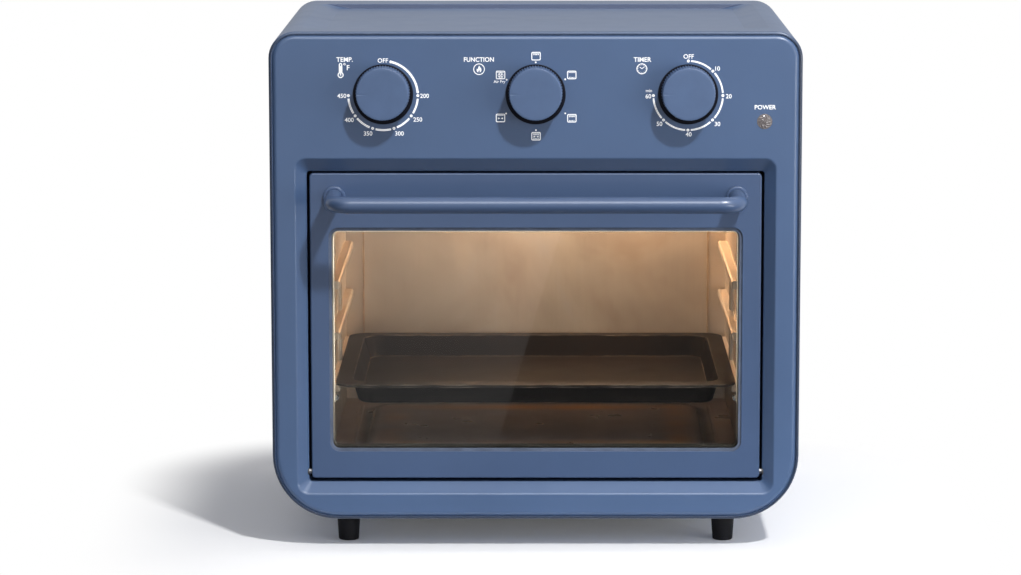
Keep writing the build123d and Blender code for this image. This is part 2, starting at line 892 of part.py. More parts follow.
def baking_tray():
    rim_front, rim_back = tray_front, tray_back
    floor_z = tray_rim_z - tray_depth
    sheet_low = tray_rim_z - tray_sheet

    def pan(wall):
        top = plan_rect(
            tray_half - tray_flange + wall,
            rim_front + tray_flange - wall,
            rim_back - tray_flange + wall,
            tray_radius + wall,
        )
        bottom = plan_rect(
            tray_half - tray_flange - tray_slope + wall,
            rim_front + tray_flange + tray_slope - wall,
            rim_back - tray_flange - tray_slope + wall,
            tray_radius - tray_slope + wall,
        )
        return top, bottom

    outer_top, outer_bottom = pan(tray_sheet)
    inner_top, inner_bottom = pan(0)
    flange = plan_rect(tray_half, rim_front, rim_back, tray_radius)
    edge = flange - plan_rect(
        tray_half - tray_bead, rim_front + tray_bead, rim_back - tray_bead, tray_radius - tray_bead
    )
    body = loft([Pos(0, 0, floor_z) * outer_bottom, Pos(0, 0, tray_rim_z) * outer_top])
    body += layer(flange, sheet_low, tray_rim_z)
    body += layer(edge, tray_rim_z - tray_bead, tray_rim_z)
    cavity = loft([Pos(0, 0, floor_z + tray_sheet) * inner_bottom, Pos(0, 0, tray_rim_z) * inner_top])
    body -= cavity
    return fillet(body.edges().group_by(Axis.Z)[0], 3)


# Heaters


def heater_rods(z, half):
    return group(*[disc_x(heater_radius, y, z, -half, half) for y in heater_ys])


def upper_heaters():
    return heater_rods(chamber_high - upper_heater_drop, chamber_half + heater_end)


def lower_heaters():
    return heater_rods(chamber_low - lower_heater_drop, bracket_x + heater_end)


def heater_insulators():
    """Ceramic bushes where each rod passes through a wall or a bracket."""
    pieces = []
    seats = (
        (chamber_half, chamber_sheet, chamber_high - upper_heater_drop),
        (bracket_x, bracket_sheet, chamber_low - lower_heater_drop),
    )
    for x, sheet, z in seats:
        for y in heater_ys:
            outer = x + sheet
            bush = disc_x(insulator_radius, y, z, x, outer)
            bush += disc_x(insulator_flange, y, z, outer, outer + insulator_flange_thickness)
            bush -= disc_x(heater_radius + shaft_gap, y, z, x, outer + insulator_flange_thickness)
            pieces.append(both_sides(bush))
    return group(*pieces)


def heater_brackets():
    """Upright plates under the chamber that carry it and hold the lower rods."""
    front = heater_ys[0] - bracket_overhang
    back = heater_ys[1] + bracket_overhang
    top = chamber_low - chamber_sheet
    plate = box(bracket_x, bracket_x + bracket_sheet, front, back, pan_top, top)
    plate += box(bracket_x - bracket_foot, bracket_x, front, back, pan_top, pan_top + bracket_sheet)
    for y in heater_ys:
        hole = insulator_radius + shaft_gap
        plate -= disc_x(hole, y, chamber_low - lower_heater_drop, bracket_x, bracket_x + bracket_sheet)
    return both_sides(plate)


# Fan


def wheel(radius, low, height, bore):
    """A flat disc with upright blades on its lower side and a hub."""
    top = low + height
    disc = disc_z(radius, 0, chamber_middle, top - wheel_sheet, top)
    blade = box(wheel_hub_radius + 4, radius - 1, -wheel_sheet / 2, wheel_sheet / 2, low, top - wheel_sheet)
    for number in range(wheel_blades):
        disc += Pos(0, chamber_middle, 0) * Rot(0, 0, number * 360 / wheel_blades) * blade
    disc += disc_z(wheel_hub_radius, 0, chamber_middle, low, top)
    return disc - disc_z(bore, 0, chamber_middle, low, top)


def hot_wheel():
    low = chamber_high - hot_wheel_gap - hot_wheel_height
    return wheel(hot_wheel_radius, low, hot_wheel_height, fan_shaft_radius + shaft_gap)


def cooling_wheel():
    low = chamber_high + chamber_sheet + cooling_wheel_gap
    return wheel(cooling_wheel_radius, low, cooling_wheel_height, fan_shaft_radius + shaft_gap)


def motor_low():
    return chamber_high + chamber_sheet + motor_stand + bracket_sheet


def fan_shaft():
    low = chamber_high - hot_wheel_gap - hot_wheel_height - 1
    return disc_z(fan_shaft_radius, 0, chamber_middle, low, motor_low() + motor_height / 2)


def fan_motor():
    low = motor_low()
    motor = disc_z(motor_radius, 0, chamber_middle, low, low + motor_height)
    motor = fillet(motor.edges().group_by(Axis.Z)[-1], 3)
    motor += disc_z(motor_radius / 3, 0, chamber_middle, low + motor_height, low + motor_height + 4)
    return motor - disc_z(fan_shaft_radius + shaft_gap, 0, chamber_middle, low, low + motor_height / 2 + 1)


def motor_bracket():
    leg_x = cooling_wheel_radius + motor_leg_gap
    low = chamber_high + chamber_sheet
    top = motor_low()
    half_depth = motor_radius / 2
    front, back = chamber_middle - half_depth, chamber_middle + half_depth
    plate = box(-leg_x, leg_x, front, back, top - bracket_sheet, top)
    for side in (-1, 1):
        plate += box(*sorted((side * leg_x, side * (leg_x - bracket_sheet))), front, back, low, top)
        plate += box(*sorted((side * leg_x, side * (leg_x + 10))), front, back, low, low + bracket_sheet)
    return plate - disc_z(fan_shaft_radius + fan_shaft_gap, 0, chamber_middle, top - bracket_sheet, top)


def fan_guard():
    """A pressed cup under the roof with radial slots round its face and side."""
    low = chamber_high - guard_depth
    cup = disc_z(guard_radius, 0, chamber_middle, low, chamber_high)
    cup = fillet(cup.edges().group_by(Axis.Z)[0], 4)
    inner = disc_z(guard_radius - chamber_sheet, 0, chamber_middle, low + chamber_sheet, chamber_high)
    cup -= fillet(inner.edges().group_by(Axis.Z)[0], 3.2)
    slot = box(guard_radius * 0.3, guard_radius * 0.85, -1.5, 1.5, low, low + chamber_sheet)
    vent = box(guard_radius - 2, guard_radius + 1, -2, 2, low + 7, chamber_high - 5)
    for number in range(guard_slots):
        turn = Pos(0, chamber_middle, 0) * Rot(0, 0, number * 360 / guard_slots)
        cup -= turn * slot
        cup -= turn * vent
    return cup


# Chamber lamp


def lamp_socket():
    low = chamber_high + chamber_sheet
    top = low + lamp_height
    socket = disc_z(lamp_bore + lamp_wall, lamp_x, chamber_middle, low, top)
    socket += disc_z(lamp_bore + 3 * lamp_wall, lamp_x, chamber_middle, low, low + 2)
    return socket - disc_z(lamp_bore, lamp_x, chamber_middle, low, top - lamp_wall)


def lamp_bulb():
    top = chamber_high + chamber_sheet + lamp_height - lamp_wall
    bulb = disc_z(bulb_radius, lamp_x, chamber_middle, top - bulb_length, top)
    return fillet(bulb.edges().group_by(Axis.Z)[0], bulb_radius * 0.9)


def lamp_lens():
    low = chamber_high - lens_drop
    lens = disc_z(lens_radius, lamp_x, chamber_middle, low, chamber_high)
    lens = fillet(lens.edges().group_by(Axis.Z)[0], lens_drop * 0.6)
    return lens - disc_z(lens_radius - lens_wall, lamp_x, chamber_middle, low + lens_wall, chamber_high)


# Controls


def knob(x):
    """A knob that narrows towards the panel. Its pointer notch is on its left at rest."""
    back = -knob_lift
    length = knob_depth - knob_lift
    inner_end = knob_radius - knob_taper
    middle = (back - knob_depth) / 2
    body = Pos(x, middle, knob_z) * Rot(-90, 0, 0) * Cone(knob_radius, inner_end, length)
    body = fillet(edges_at_y(body, -knob_depth), knob_round)
    left = x - knob_radius
    low, high = knob_z - knob_notch_width / 2, knob_z + knob_notch_width / 2
    body -= box(left, left + knob_notch, -knob_depth, -knob_depth + knob_wall / 2, low, high)
    body -= disc_y(inner_end - knob_wall, x, knob_z, -knob_depth + knob_wall, back)
    body += disc_y(knob_hub_radius, x, knob_z, -knob_depth + knob_wall, back)
    return body - disc_y(knob_shaft_radius + shaft_gap, x, knob_z, -knob_depth + 2 * knob_wall, back)


def knob_rings():
    rings = []
    for x in knob_xs.values():
        ring = disc_y(ring_radius, x, ring_z, -ring_thickness, 0)
        ring = fillet(edges_at_y(ring, -ring_thickness), ring_thickness * 0.4)
        rings.append(ring - disc_y(ring_radius - ring_width, x, ring_z, -ring_thickness, 0))
    return group(*rings)


def knob_shaft(x):
    return disc_y(knob_shaft_radius, x, knob_z, -knob_depth + 2 * knob_wall + side_gap, shaft_back)


def control_plate_at(x):
    """The mounting plate that each control has against the back of the panel."""
    half = control_screw_offset + 2 * control_screw_head
    low, high = knob_z - half / 2, knob_z + half / 2
    plate = box(x - half, x + half, panel_sheet, panel_sheet + control_plate, low, high)
    for side in (-1, 1):
        screw_x = x + side * control_screw_offset
        hole = control_screw_radius + shaft_gap
        plate -= disc_y(hole, screw_x, knob_z, panel_sheet, panel_sheet + control_plate)
    return plate


def bored(piece, x):
    """Takes the shaft's bore and the ends of the two fixing screws out of a control."""
    front = panel_sheet
    bore_end = shaft_back + side_gap
    piece -= disc_y(knob_shaft_radius + shaft_gap, x, knob_z, front, bore_end)
    for side in (-1, 1):
        screw_x = x + side * control_screw_offset
        piece -= disc_y(control_screw_radius + shaft_gap, screw_x, knob_z, front, control_screw_back)
    return piece


def control_block(x, size):
    width, depth, height = size
    front = panel_sheet + control_plate
    block = box(x - width / 2, x + width / 2, front, front + depth, knob_z - height / 2, knob_z + height / 2)
    block = fillet(block.edges().filter_by(Axis.Y), 3)
    for number in range(tag_count):
        tag_x = x + (number - (tag_count - 1) / 2) * tag_pitch
        ends = front + depth, front + depth + tag_length
        block += box(tag_x - tag_width / 2, tag_x + tag_width / 2, *ends, knob_z, knob_z + case_sheet)
    return bored(block + control_plate_at(x), x)


def timer_body():
    x = knob_xs["timer"]
    front = panel_sheet + control_plate
    can = disc_y(timer_radius, x, knob_z, front, front + timer_depth)
    can = fillet(edges_at_y(can, front + timer_depth), 2)
    post_end = front + timer_depth + side_gap + bell_depth - bell_sheet - side_gap
    can += disc_y(bell_post_radius, x, knob_z, front + timer_depth, post_end)
    return bored(can + control_plate_at(x), x)


def timer_bell():
    x = knob_xs["timer"]
    low = panel_sheet + control_plate + timer_depth + side_gap
    bell = disc_y(bell_radius, x, knob_z, low, low + bell_depth)
    bell = fillet(edges_at_y(bell, low + bell_depth), bell_depth / 2)
    hollow = disc_y(bell_radius - bell_sheet, x, knob_z, low, low + bell_depth - bell_sheet)
    return bell - fillet(edges_at_y(hollow, low + bell_depth - bell_sheet), bell_depth / 2 - bell_sheet)


def control_screws():
    screws = []
    for x in knob_xs.values():
        for side in (-1, 1):
            screw_x = x + side * control_screw_offset
            head = disc_y(control_screw_head, screw_x, knob_z, -control_screw_head / 2, 0)
            shank = disc_y(control_screw_radius, screw_x, knob_z, 0, control_screw_back)
            screws.append(head + shank)
    return group(*screws)


def power_lens():
    lens = disc_y(power_radius, power_x, power_z, -power_rise, panel_sheet)
    lens = fillet(edges_at_y(lens, -power_rise), power_rise * 0.9)
    return lens + disc_y(power_radius + power_lip, power_x, power_z, panel_sheet, panel_sheet + power_lip)


def power_holder():
    front = panel_sheet + power_lip
    holder = disc_y(power_holder_radius, power_x, power_z, front, front + power_holder_depth)
    return fillet(edges_at_y(holder, front + power_holder_depth), 1)


def terminal_block():
    width, depth, height = block_size
    left = -bracket_x + bracket_foot + block_gap
    back = chamber_back - block_gap
    top = pan_top + height
    block = box(left, left + width, back - depth, back, pan_top, top)
    for number in range(3):
        y = back - depth + (number + 0.5) * depth / 3
        block -= disc_z(2.6, left + width / 2, y, top - 6, top)
    return block


os.makedirs("parts", exist_ok=True)
wall = chamber_wall()
pieces = {
    "outer_case": outer_case(),
    "front_fascia": front_fascia(),
    "rear_cover": rear_cover(),
    "rear_screws": rear_screws(),
    "base_pan": base_pan(),
    "foot_screws": foot_screws(),
    "cord_gland": cord_gland(),
    "door_frame": door_frame(),
    "door_gasket": door_gasket(),
    "door_glass": door_glass(),
    "door_inner_panel": door_inner_panel(),
    "handle_bar": handle_bar(),
    "handle_collars": handle_collars(),
    "handle_screws": handle_screws(),
    "hinge_pins": hinge_pins(),
    "hinge_bushes": hinge_bushes(),
    "hinge_arms": hinge_arms(),
    "door_springs": door_springs(),
    "spring_anchors": spring_anchors(),
    "tray_hooks": tray_hooks(),
    "chamber_front_frame": chamber_front_frame(),
    "chamber_wall_right": wall,
    "chamber_wall_left": mirror(wall, about=Plane.YZ),
    "chamber_roof": chamber_roof(),
    "chamber_floor": chamber_floor(),
    "chamber_back_wall": chamber_back_wall(),
    "baking_tray": baking_tray(),
    "upper_heaters": upper_heaters(),
    "lower_heaters": lower_heaters(),
    "heater_insulators": heater_insulators(),
    "heater_brackets": heater_brackets(),
    "hot_wheel": hot_wheel(),
    "cooling_wheel": cooling_wheel(),
    "fan_shaft": fan_shaft(),
    "fan_motor": fan_motor(),
    "motor_bracket": motor_bracket(),
    "fan_guard": fan_guard(),
    "lamp_socket": lamp_socket(),
    "lamp_bulb": lamp_bulb(),
    "lamp_lens": lamp_lens(),
    "knob_rings": knob_rings(),
    "thermostat": control_block(knob_xs["temperature"], thermostat_size),
    "function_switch": control_block(knob_xs["function"], switch_size),
    "timer": timer_body(),
    "timer_bell": timer_bell(),
    "control_screws": control_screws(),
    "power_lens": power_lens(),
    "power_holder": power_holder(),
    "terminal_block": terminal_block(),
}
foot_names = ("foot_front_left", "foot_front_right", "foot_rear_left", "foot_rear_right")
for foot_name, (foot_x, foot_y) in zip(foot_names, foot_places()):
    pieces[foot_name] = foot(foot_x, foot_y)
for dial, dial_x in knob_xs.items():
    pieces[f"{dial}_knob"] = knob(dial_x)
    pieces[f"{dial}_shaft"] = knob_shaft(dial_x)
for node_name, node_piece in pieces.items():
    save(node_name, node_piece)
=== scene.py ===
import json
import math

import bmesh
import bpy
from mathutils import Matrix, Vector


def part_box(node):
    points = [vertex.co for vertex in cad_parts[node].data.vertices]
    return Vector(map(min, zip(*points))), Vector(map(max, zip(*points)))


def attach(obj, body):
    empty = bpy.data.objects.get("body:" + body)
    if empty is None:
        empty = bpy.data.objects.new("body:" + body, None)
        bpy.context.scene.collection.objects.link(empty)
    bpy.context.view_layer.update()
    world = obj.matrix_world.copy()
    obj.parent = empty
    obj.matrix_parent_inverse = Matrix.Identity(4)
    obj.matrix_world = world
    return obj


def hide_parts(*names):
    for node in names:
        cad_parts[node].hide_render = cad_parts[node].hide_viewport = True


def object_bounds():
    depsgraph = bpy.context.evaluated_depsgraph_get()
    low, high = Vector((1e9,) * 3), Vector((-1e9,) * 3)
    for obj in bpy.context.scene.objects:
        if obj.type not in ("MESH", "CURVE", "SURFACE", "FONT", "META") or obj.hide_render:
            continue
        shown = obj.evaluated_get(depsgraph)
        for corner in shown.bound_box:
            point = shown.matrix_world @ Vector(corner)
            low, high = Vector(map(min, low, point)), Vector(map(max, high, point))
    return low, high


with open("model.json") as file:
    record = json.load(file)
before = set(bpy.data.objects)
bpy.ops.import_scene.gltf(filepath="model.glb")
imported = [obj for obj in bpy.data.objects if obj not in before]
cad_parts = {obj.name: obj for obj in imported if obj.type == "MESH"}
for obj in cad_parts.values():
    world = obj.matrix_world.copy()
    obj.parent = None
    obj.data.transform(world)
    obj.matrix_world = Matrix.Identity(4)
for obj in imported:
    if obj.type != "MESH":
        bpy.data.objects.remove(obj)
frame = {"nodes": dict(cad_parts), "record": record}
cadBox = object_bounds()
nodes = frame["nodes"]
mm = 0.001
print("frame in:", len(nodes), "CAD nodes")


def screenColour(red, green, blue):
    # the 0 to 255 values that a screen shows, as a linear colour
    def linear(value):
        value /= 255
        return value / 12.92 if value <= 0.04045 else ((value + 0.055) / 1.055) ** 2.4

    return (linear(red), linear(green), linear(blue), 1.0)


def middleOf(node):
    low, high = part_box(node)
    return (low + high) / 2


def around(x, z, radius, turn):
    # the point on a circle, anticlockwise from the right, in radians
    return x + radius * math.cos(turn), z + radius * math.sin(turn)


def addObject(name, data):
    made = bpy.data.objects.new(name, data)
    bpy.context.scene.collection.objects.link(made)
    return made


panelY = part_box("front_fascia")[0].y

# camera: metres, degrees and millimetres of lens
camera = {"distance": 2.6616, "height": 0.6044, "pitch": 8.813, "lens": 132.46, "shiftX": -0.0246}


def addCamera():
    data = bpy.data.cameras.new("viewCamera")
    data.sensor_width = 36
    data.lens = camera["lens"]
    data.shift_x = camera["shiftX"]
    data.clip_start, data.clip_end = 0.05, 60
    viewer = addObject("viewCamera", data)
    viewer.location = (0, panelY - camera["distance"], camera["height"])
    viewer.rotation_euler = (math.radians(90 - camera["pitch"]), 0, 0)
    bpy.context.scene.camera = viewer


addCamera()
print("camera placed")


def setSocket(tree, socket, value):
    # another socket is linked, anything else is a value
    if isinstance(value, bpy.types.NodeSocket):
        tree.links.new(value, socket)
    else:
        socket.default_value = value


def addNode(tree, kind, settings=None, **inputs):
    # inputs go by name, with underscores for spaces, or by number after one underscore
    node = tree.nodes.new("ShaderNode" + kind)
    for name, value in (settings or {}).items():
        setattr(node, name, value)
    for name, value in inputs.items():
        setSocket(tree, node.inputs[int(name[1:]) if name[0] == "_" else name.replace("_", " ")], value)
    return node


def startGroup(name, inputs, outputs):
    tree = bpy.data.node_groups.new(name, "ShaderNodeTree")
    for label, kind, value in inputs:
        socket = tree.interface.new_socket(name=label, in_out="INPUT", socket_type="NodeSocket" + kind)
        socket.default_value = value
    for label, kind in outputs:
        tree.interface.new_socket(name=label, in_out="OUTPUT", socket_type="NodeSocket" + kind)
    return tree, tree.nodes.new("NodeGroupInput").outputs, tree.nodes.new("NodeGroupOutput").inputs


def useGroup(tree, group, **inputs):
    node = tree.nodes.new("ShaderNodeGroup")
    node.node_tree = group
    for name, value in inputs.items():
        setSocket(tree, node.inputs[name.replace("_", " ")], value)
    return node.outputs


def objectPlace(tree):
    return addNode(tree, "TexCoord").outputs["Object"]


def faceNormal(tree):
    return addNode(tree, "NewGeometry").outputs["Normal"]


def roundedNormal(tree, radius):
    return addNode(tree, "Bevel", {"samples": 4}, Radius=radius).outputs["Normal"]


def split(tree, vector):
    return addNode(tree, "SeparateXYZ", Vector=vector).outputs


def mathNode(tree, operation, first, second=0.0, clamp=False):
    return addNode(tree, "Math", {"operation": operation, "use_clamp": clamp}, _0=first, _1=second).outputs[0]


def times(tree, first, second, clamp=False):
    return mathNode(tree, "MULTIPLY", first, second, clamp)


def vectorNode(tree, operation, first, second=(0, 0, 0)):
    return addNode(tree, "VectorMath", {"operation": operation}, _0=first, _1=second).outputs["Vector"]


def scaled(tree, colour, amount):
    return addNode(tree, "VectorMath", {"operation": "SCALE"}, _0=colour[:3], Scale=amount).outputs["Vector"]


def noiseNode(tree, place, scale, detail, roughness=0.5, distortion=0.0):
    return addNode(tree, "TexNoise", Vector=place, Scale=scale, Detail=detail, Roughness=roughness,
                   Distortion=distortion).outputs["Fac"]


def spread(tree, value, low, high, start=0.0, end=1.0, kind="LINEAR"):
    # value from low to high becomes start to end, and stays there beyond
    return addNode(tree, "MapRange", {"interpolation_type": kind}, Value=value, From_Min=low, From_Max=high,
                   To_Min=start, To_Max=end).outputs["Result"]


def blendColour(tree, factor, first, second, mode="MIX"):
    node = tree.nodes.new("ShaderNodeMix")
    node.data_type, node.blend_type = "RGBA", mode
    # a mix of colours has its factor, first and second colour at these places
    for place, value in ((0, factor), (6, first), (7, second)):
        setSocket(tree, node.inputs[place], value)
    return node.outputs[2]


# effects that several finishes share
def cloudGroup():
    # slow change over the surface, from Low to High
    tree, given, result = startGroup("surfaceCloud",
                                     [("Scale", "Float", 20.0), ("Low", "Float", 0.0), ("High", "Float", 1.0)],
                                     [("Value", "Float")])
    noise = noiseNode(tree, objectPlace(tree), given["Scale"], 3.0, 0.55)
    tree.links.new(spread(tree, noise, 0.32, 0.68, given["Low"], given["High"]), result["Value"])
    return tree


def peelGroup():
    # the fine pebbling of a sprayed or moulded skin, over edges rounded by Radius
    tree, given, result = startGroup("skinPebble",
                                     [("Scale", "Float", 1800.0), ("Height", "Float", 0.02), ("Radius", "Float", 0.0003)],
                                     [("Normal", "Vector")])
    place = objectPlace(tree)
    fine = noiseNode(tree, place, given["Scale"], 2.0)
    coarse = noiseNode(tree, place, times(tree, given["Scale"], 0.22), 1.0)
    bump = addNode(tree, "Bump", Strength=1.0, Distance=times(tree, given["Height"], mm),
                   Height=mathNode(tree, "ADD", fine, coarse), Normal=roundedNormal(tree, given["Radius"]))
    tree.links.new(bump.outputs["Normal"], result["Normal"])
    return tree


def edgeWearSheenGroup():
    # where edges are rubbed or carry a painted highlight: 1 on sharp edges, broken up by noise
    tree, given, result = startGroup("edgeWearSheen",
                                     [("Radius", "Float", 0.0006), ("Amount", "Float", 0.5), ("Scale", "Float", 300.0)],
                                     [("Mask", "Float")])
    along = addNode(tree, "VectorMath", {"operation": "DOT_PRODUCT"}, _0=roundedNormal(tree, given["Radius"]),
                    _1=faceNormal(tree)).outputs["Value"]
    turned = mathNode(tree, "SUBTRACT", 1.0, along, clamp=True)
    broken = spread(tree, noiseNode(tree, objectPlace(tree), given["Scale"], 4.0, 0.65), 0.42, 0.62)
    both = times(tree, times(tree, turned, 9.0, clamp=True), broken)
    tree.links.new(times(tree, both, given["Amount"], clamp=True), result["Mask"])
    return tree


def grainGroup():
    # rolled or brushed metal: long streaks along the axis with the smallest Stretch
    tree, given, result = startGroup("rolledGrain",
                                     [("Stretch", "Vector", (900.0, 900.0, 20.0)), ("Height", "Float", 0.01),
                                      ("Radius", "Float", 0.0003)],
                                     [("Streak", "Float"), ("Normal", "Vector")])
    streaks = noiseNode(tree, vectorNode(tree, "MULTIPLY", objectPlace(tree), given["Stretch"]), 1.0, 3.0, 0.6)
    bump = addNode(tree, "Bump", Strength=1.0, Distance=times(tree, given["Height"], mm),
                   Height=streaks, Normal=roundedNormal(tree, given["Radius"]))
    tree.links.new(streaks, result["Streak"])
    tree.links.new(bump.outputs["Normal"], result["Normal"])
    return tree


def dustGroup():
    # a thin film that settles on faces turned up
    tree, given, result = startGroup("settledDust", [("Amount", "Float", 0.1), ("Scale", "Float", 60.0)],
                                     [("Mask", "Float")])
    up = spread(tree, split(tree, faceNormal(tree))["Z"], 0.5, 1.0)
    mask = times(tree, up, noiseNode(tree, objectPlace(tree), given["Scale"], 6.0, 0.7))
    tree.links.new(times(tree, mask, given["Amount"], clamp=True), result["Mask"])
    return tree


def heatGroup():
    # straw and brown patches that heat leaves on bare sheet
    tree, given, result = startGroup("heatTint",
                                     [("Sheet", "Color", (0.5, 0.5, 0.5, 1)), ("Amount", "Float", 0.5),
                                      ("Scale", "Float", 9.0)],
                                     [("Color", "Color")])
    noise = noiseNode(tree, objectPlace(tree), given["Scale"], 4.0, 0.6, distortion=0.4)
    ramp = addNode(tree, "ValToRGB", Fac=noise)
    stops = ramp.color_ramp.elements
    stops[0].position, stops[0].color = 0.30, (0.92, 0.90, 0.88, 1)
    stops[1].position, stops[1].color = 0.72, (0.62, 0.40, 0.20, 1)
    stops.new(0.50).color = (0.95, 0.78, 0.55, 1)
    tinted = blendColour(tree, given["Amount"], (1, 1, 1, 1), ramp.outputs["Color"])
    tree.links.new(blendColour(tree, 1.0, given["Sheet"], tinted, "MULTIPLY"), result["Color"])
    return tree


def outlineGroup():
    # distance from the outline of a rounded rectangle round the origin, below 0 inside it
    tree, given, result = startGroup("outlineDistance",
                                     [("Place", "Vector", (0, 0, 0)), ("Half", "Vector", (0.1, 0.1, 0)),
                                      ("Radius", "Float", 0.01)],
                                     [("Distance", "Float")])
    corner = addNode(tree, "CombineXYZ", X=given["Radius"], Y=given["Radius"]).outputs["Vector"]
    core = vectorNode(tree, "SUBTRACT", given["Half"], corner)
    beyond = vectorNode(tree, "SUBTRACT", vectorNode(tree, "ABSOLUTE", given["Place"]), core)
    outside = vectorNode(tree, "MAXIMUM", beyond)
    length = addNode(tree, "VectorMath", {"operation": "LENGTH"}, _0=outside).outputs["Value"]
    parts = split(tree, beyond)
    inside = mathNode(tree, "MINIMUM", mathNode(tree, "MAXIMUM", parts["X"], parts["Y"]), 0.0)
    distance = mathNode(tree, "SUBTRACT", mathNode(tree, "ADD", length, inside), given["Radius"])
    tree.links.new(distance, result["Distance"])
    return tree


surfaceCloud, skinPebble, edgeWearSheen, outlineDistance = cloudGroup(), peelGroup(), edgeWearSheenGroup(), outlineGroup()
rolledGrain, settledDust, heatTint = grainGroup(), dustGroup(), heatGroup()
print("shared effects built")


def startMaterial(name):
    material = bpy.data.materials.new(name)
    material.use_nodes = True
    tree = material.node_tree
    tree.nodes.clear()
    tree.nodes.new("ShaderNodeOutputMaterial")
    return material, tree


def showShader(tree, shader):
    output = next(node for node in tree.nodes if node.type.startswith("OUTPUT"))
    tree.links.new(shader, output.inputs["Surface"])


def startFinish(name):
    material, tree = startMaterial(name)
    surface = tree.nodes.new("ShaderNodeBsdfPrincipled")
    showShader(tree, surface.outputs["BSDF"])
    return material, tree, surface


def cloud(tree, scale, low, high):
    return useGroup(tree, surfaceCloud, Scale=scale, Low=low, High=high)["Value"]


def roughen(tree, surface, scale, low, high):
    tree.links.new(cloud(tree, scale, low, high), surface.inputs["Roughness"])


def pebbleSkin(tree, surface, scale, height, radius):
    skin = useGroup(tree, skinPebble, Scale=scale, Height=height, Radius=radius)
    tree.links.new(skin["Normal"], surface.inputs["Normal"])


# colours that lie over a finish: dust, wear, painted shade and painted light
over = {"dust": (0.62, 0.60, 0.58, 1), "rubberDust": (0.2, 0.19, 0.18, 1), "lipShade": (0.006, 0.009, 0.02, 1),
        "dipShade": (0.008, 0.022, 0.08, 1), "lowEdgeShade": (0.03, 0.025, 0.02, 1), "panelWarmLight": (0.80, 0.42, 0.17, 1),
        "panelShadeLine": (0.05, 0.035, 0.03, 1), "edgeHighlight": (1.0, 0.93, 0.74, 1), "paleLipSheen": (0.30, 0.24, 0.19, 1)}


def rimShade(tree, tone, rim):
    # painted shade on the narrow front lip, less of it along the top
    parts = split(tree, vectorNode(tree, "SUBTRACT", objectPlace(tree), rim["centre"]))
    flat = addNode(tree, "CombineXYZ", X=parts["X"], Y=parts["Z"]).outputs["Vector"]
    radius = spread(tree, parts["Z"], -rim["cornerBlend"], rim["cornerBlend"], rim["lowRadius"], rim["highRadius"])
    distance = useGroup(tree, outlineDistance, Place=flat, Half=rim["half"], Radius=radius)["Distance"]
    onLip = spread(tree, distance, -rim["width"] - rim["soft"], -rim["width"])
    front = spread(tree, split(tree, faceNormal(tree))["Y"], -0.2, -0.6)
    top = rim["half"][1]
    depth = spread(tree, parts["Z"], top - rim["topFrom"], top - rim["topTo"], rim["low"], rim["high"])
    return blendColour(tree, times(tree, times(tree, onLip, front), depth), tone, over["lipShade"])


def dipShade(tree, tone, dip):
    # painted shade on the steep rear side of the dip in the top: middle and reach along each axis
    parts = split(tree, objectPlace(tree))
    masks = [addNode(tree, "Math", {"operation": "COMPARE"}, _0=parts[axis], _1=middle, _2=reach).outputs[0]
             for axis, (middle, reach) in dip["span"].items()]
    both = times(tree, times(tree, masks[0], masks[1]), masks[2])
    return blendColour(tree, times(tree, both, dip["amount"]), tone, over["dipShade"])


def sprayedPaint(name, colour, roughness, rim=None, dip=None):
    material, tree, surface = startFinish(name)
    tone = scaled(tree, colour, cloud(tree, 14.0, 0.96, 1.04))
    # paler slate on the edges: wear and a painted highlight
    wornSheen = blendColour(tree, useGroup(tree, edgeWearSheen, Amount=0.30)["Mask"], tone, slateWearSheen)
    paint = blendColour(tree, useGroup(tree, settledDust, Amount=0.05)["Mask"], wornSheen, over["dust"])
    if rim:
        paint = rimShade(tree, paint, rim)
    if dip:
        paint = dipShade(tree, paint, dip)
    tree.links.new(paint, surface.inputs["Base Color"])
    roughen(tree, surface, 45.0, roughness - 0.01, roughness + 0.02)
    pebbleSkin(tree, surface, 1700.0, 0.012, 0.0004)
    # a thin clear lacquer gives the crisp part of the gloss
    surface.inputs["Coat Weight"].default_value = 0.14
    surface.inputs["Coat Roughness"].default_value = 0.22
    return material


def mouldedPlastic(name, colour, roughness, pebble, radius=0.0003, gloss=0.5):
    material, tree, surface = startFinish(name)
    tone = scaled(tree, colour, cloud(tree, 60.0, 0.95, 1.05))
    paler = tuple(min(1, 1.5 * part + 0.02) for part in colour[:3]) + (1,)
    # paler edges: wear and a painted highlight
    wornSheen = blendColour(tree, useGroup(tree, edgeWearSheen, Amount=0.3, Radius=0.0005)["Mask"], tone, paler)
    tree.links.new(wornSheen, surface.inputs["Base Color"])
    roughen(tree, surface, 90.0, roughness - 0.04, roughness + 0.04)
    surface.inputs["Specular IOR Level"].default_value = gloss
    pebbleSkin(tree, surface, pebble, 0.02, radius)
    return material


def panelShadeAndGlow(tree, sheet, panel):
    # painted shade along the pressed panel's border, and painted warm light just inside it
    place = vectorNode(tree, "SUBTRACT", objectPlace(tree), panel["centre"])
    distance = useGroup(tree, outlineDistance, Place=vectorNode(tree, "MULTIPLY", place, (1, 1, 0)),
                        Half=panel["half"], Radius=panel["radius"])["Distance"]
    ring = spread(tree, mathNode(tree, "ABSOLUTE", distance), panel["spread"], 0.0, kind="SMOOTHSTEP")
    deep = mathNode(tree, "ABSOLUTE", mathNode(tree, "ADD", distance, panel["glowInset"]))
    warm = spread(tree, deep, panel["glowSpread"], 0.0, kind="SMOOTHSTEP")
    sheet = blendColour(tree, times(tree, warm, cloud(tree, 9.0, 0.0, 1.0)), sheet, over["panelWarmLight"])
    return blendColour(tree, ring, sheet, over["panelShadeLine"])


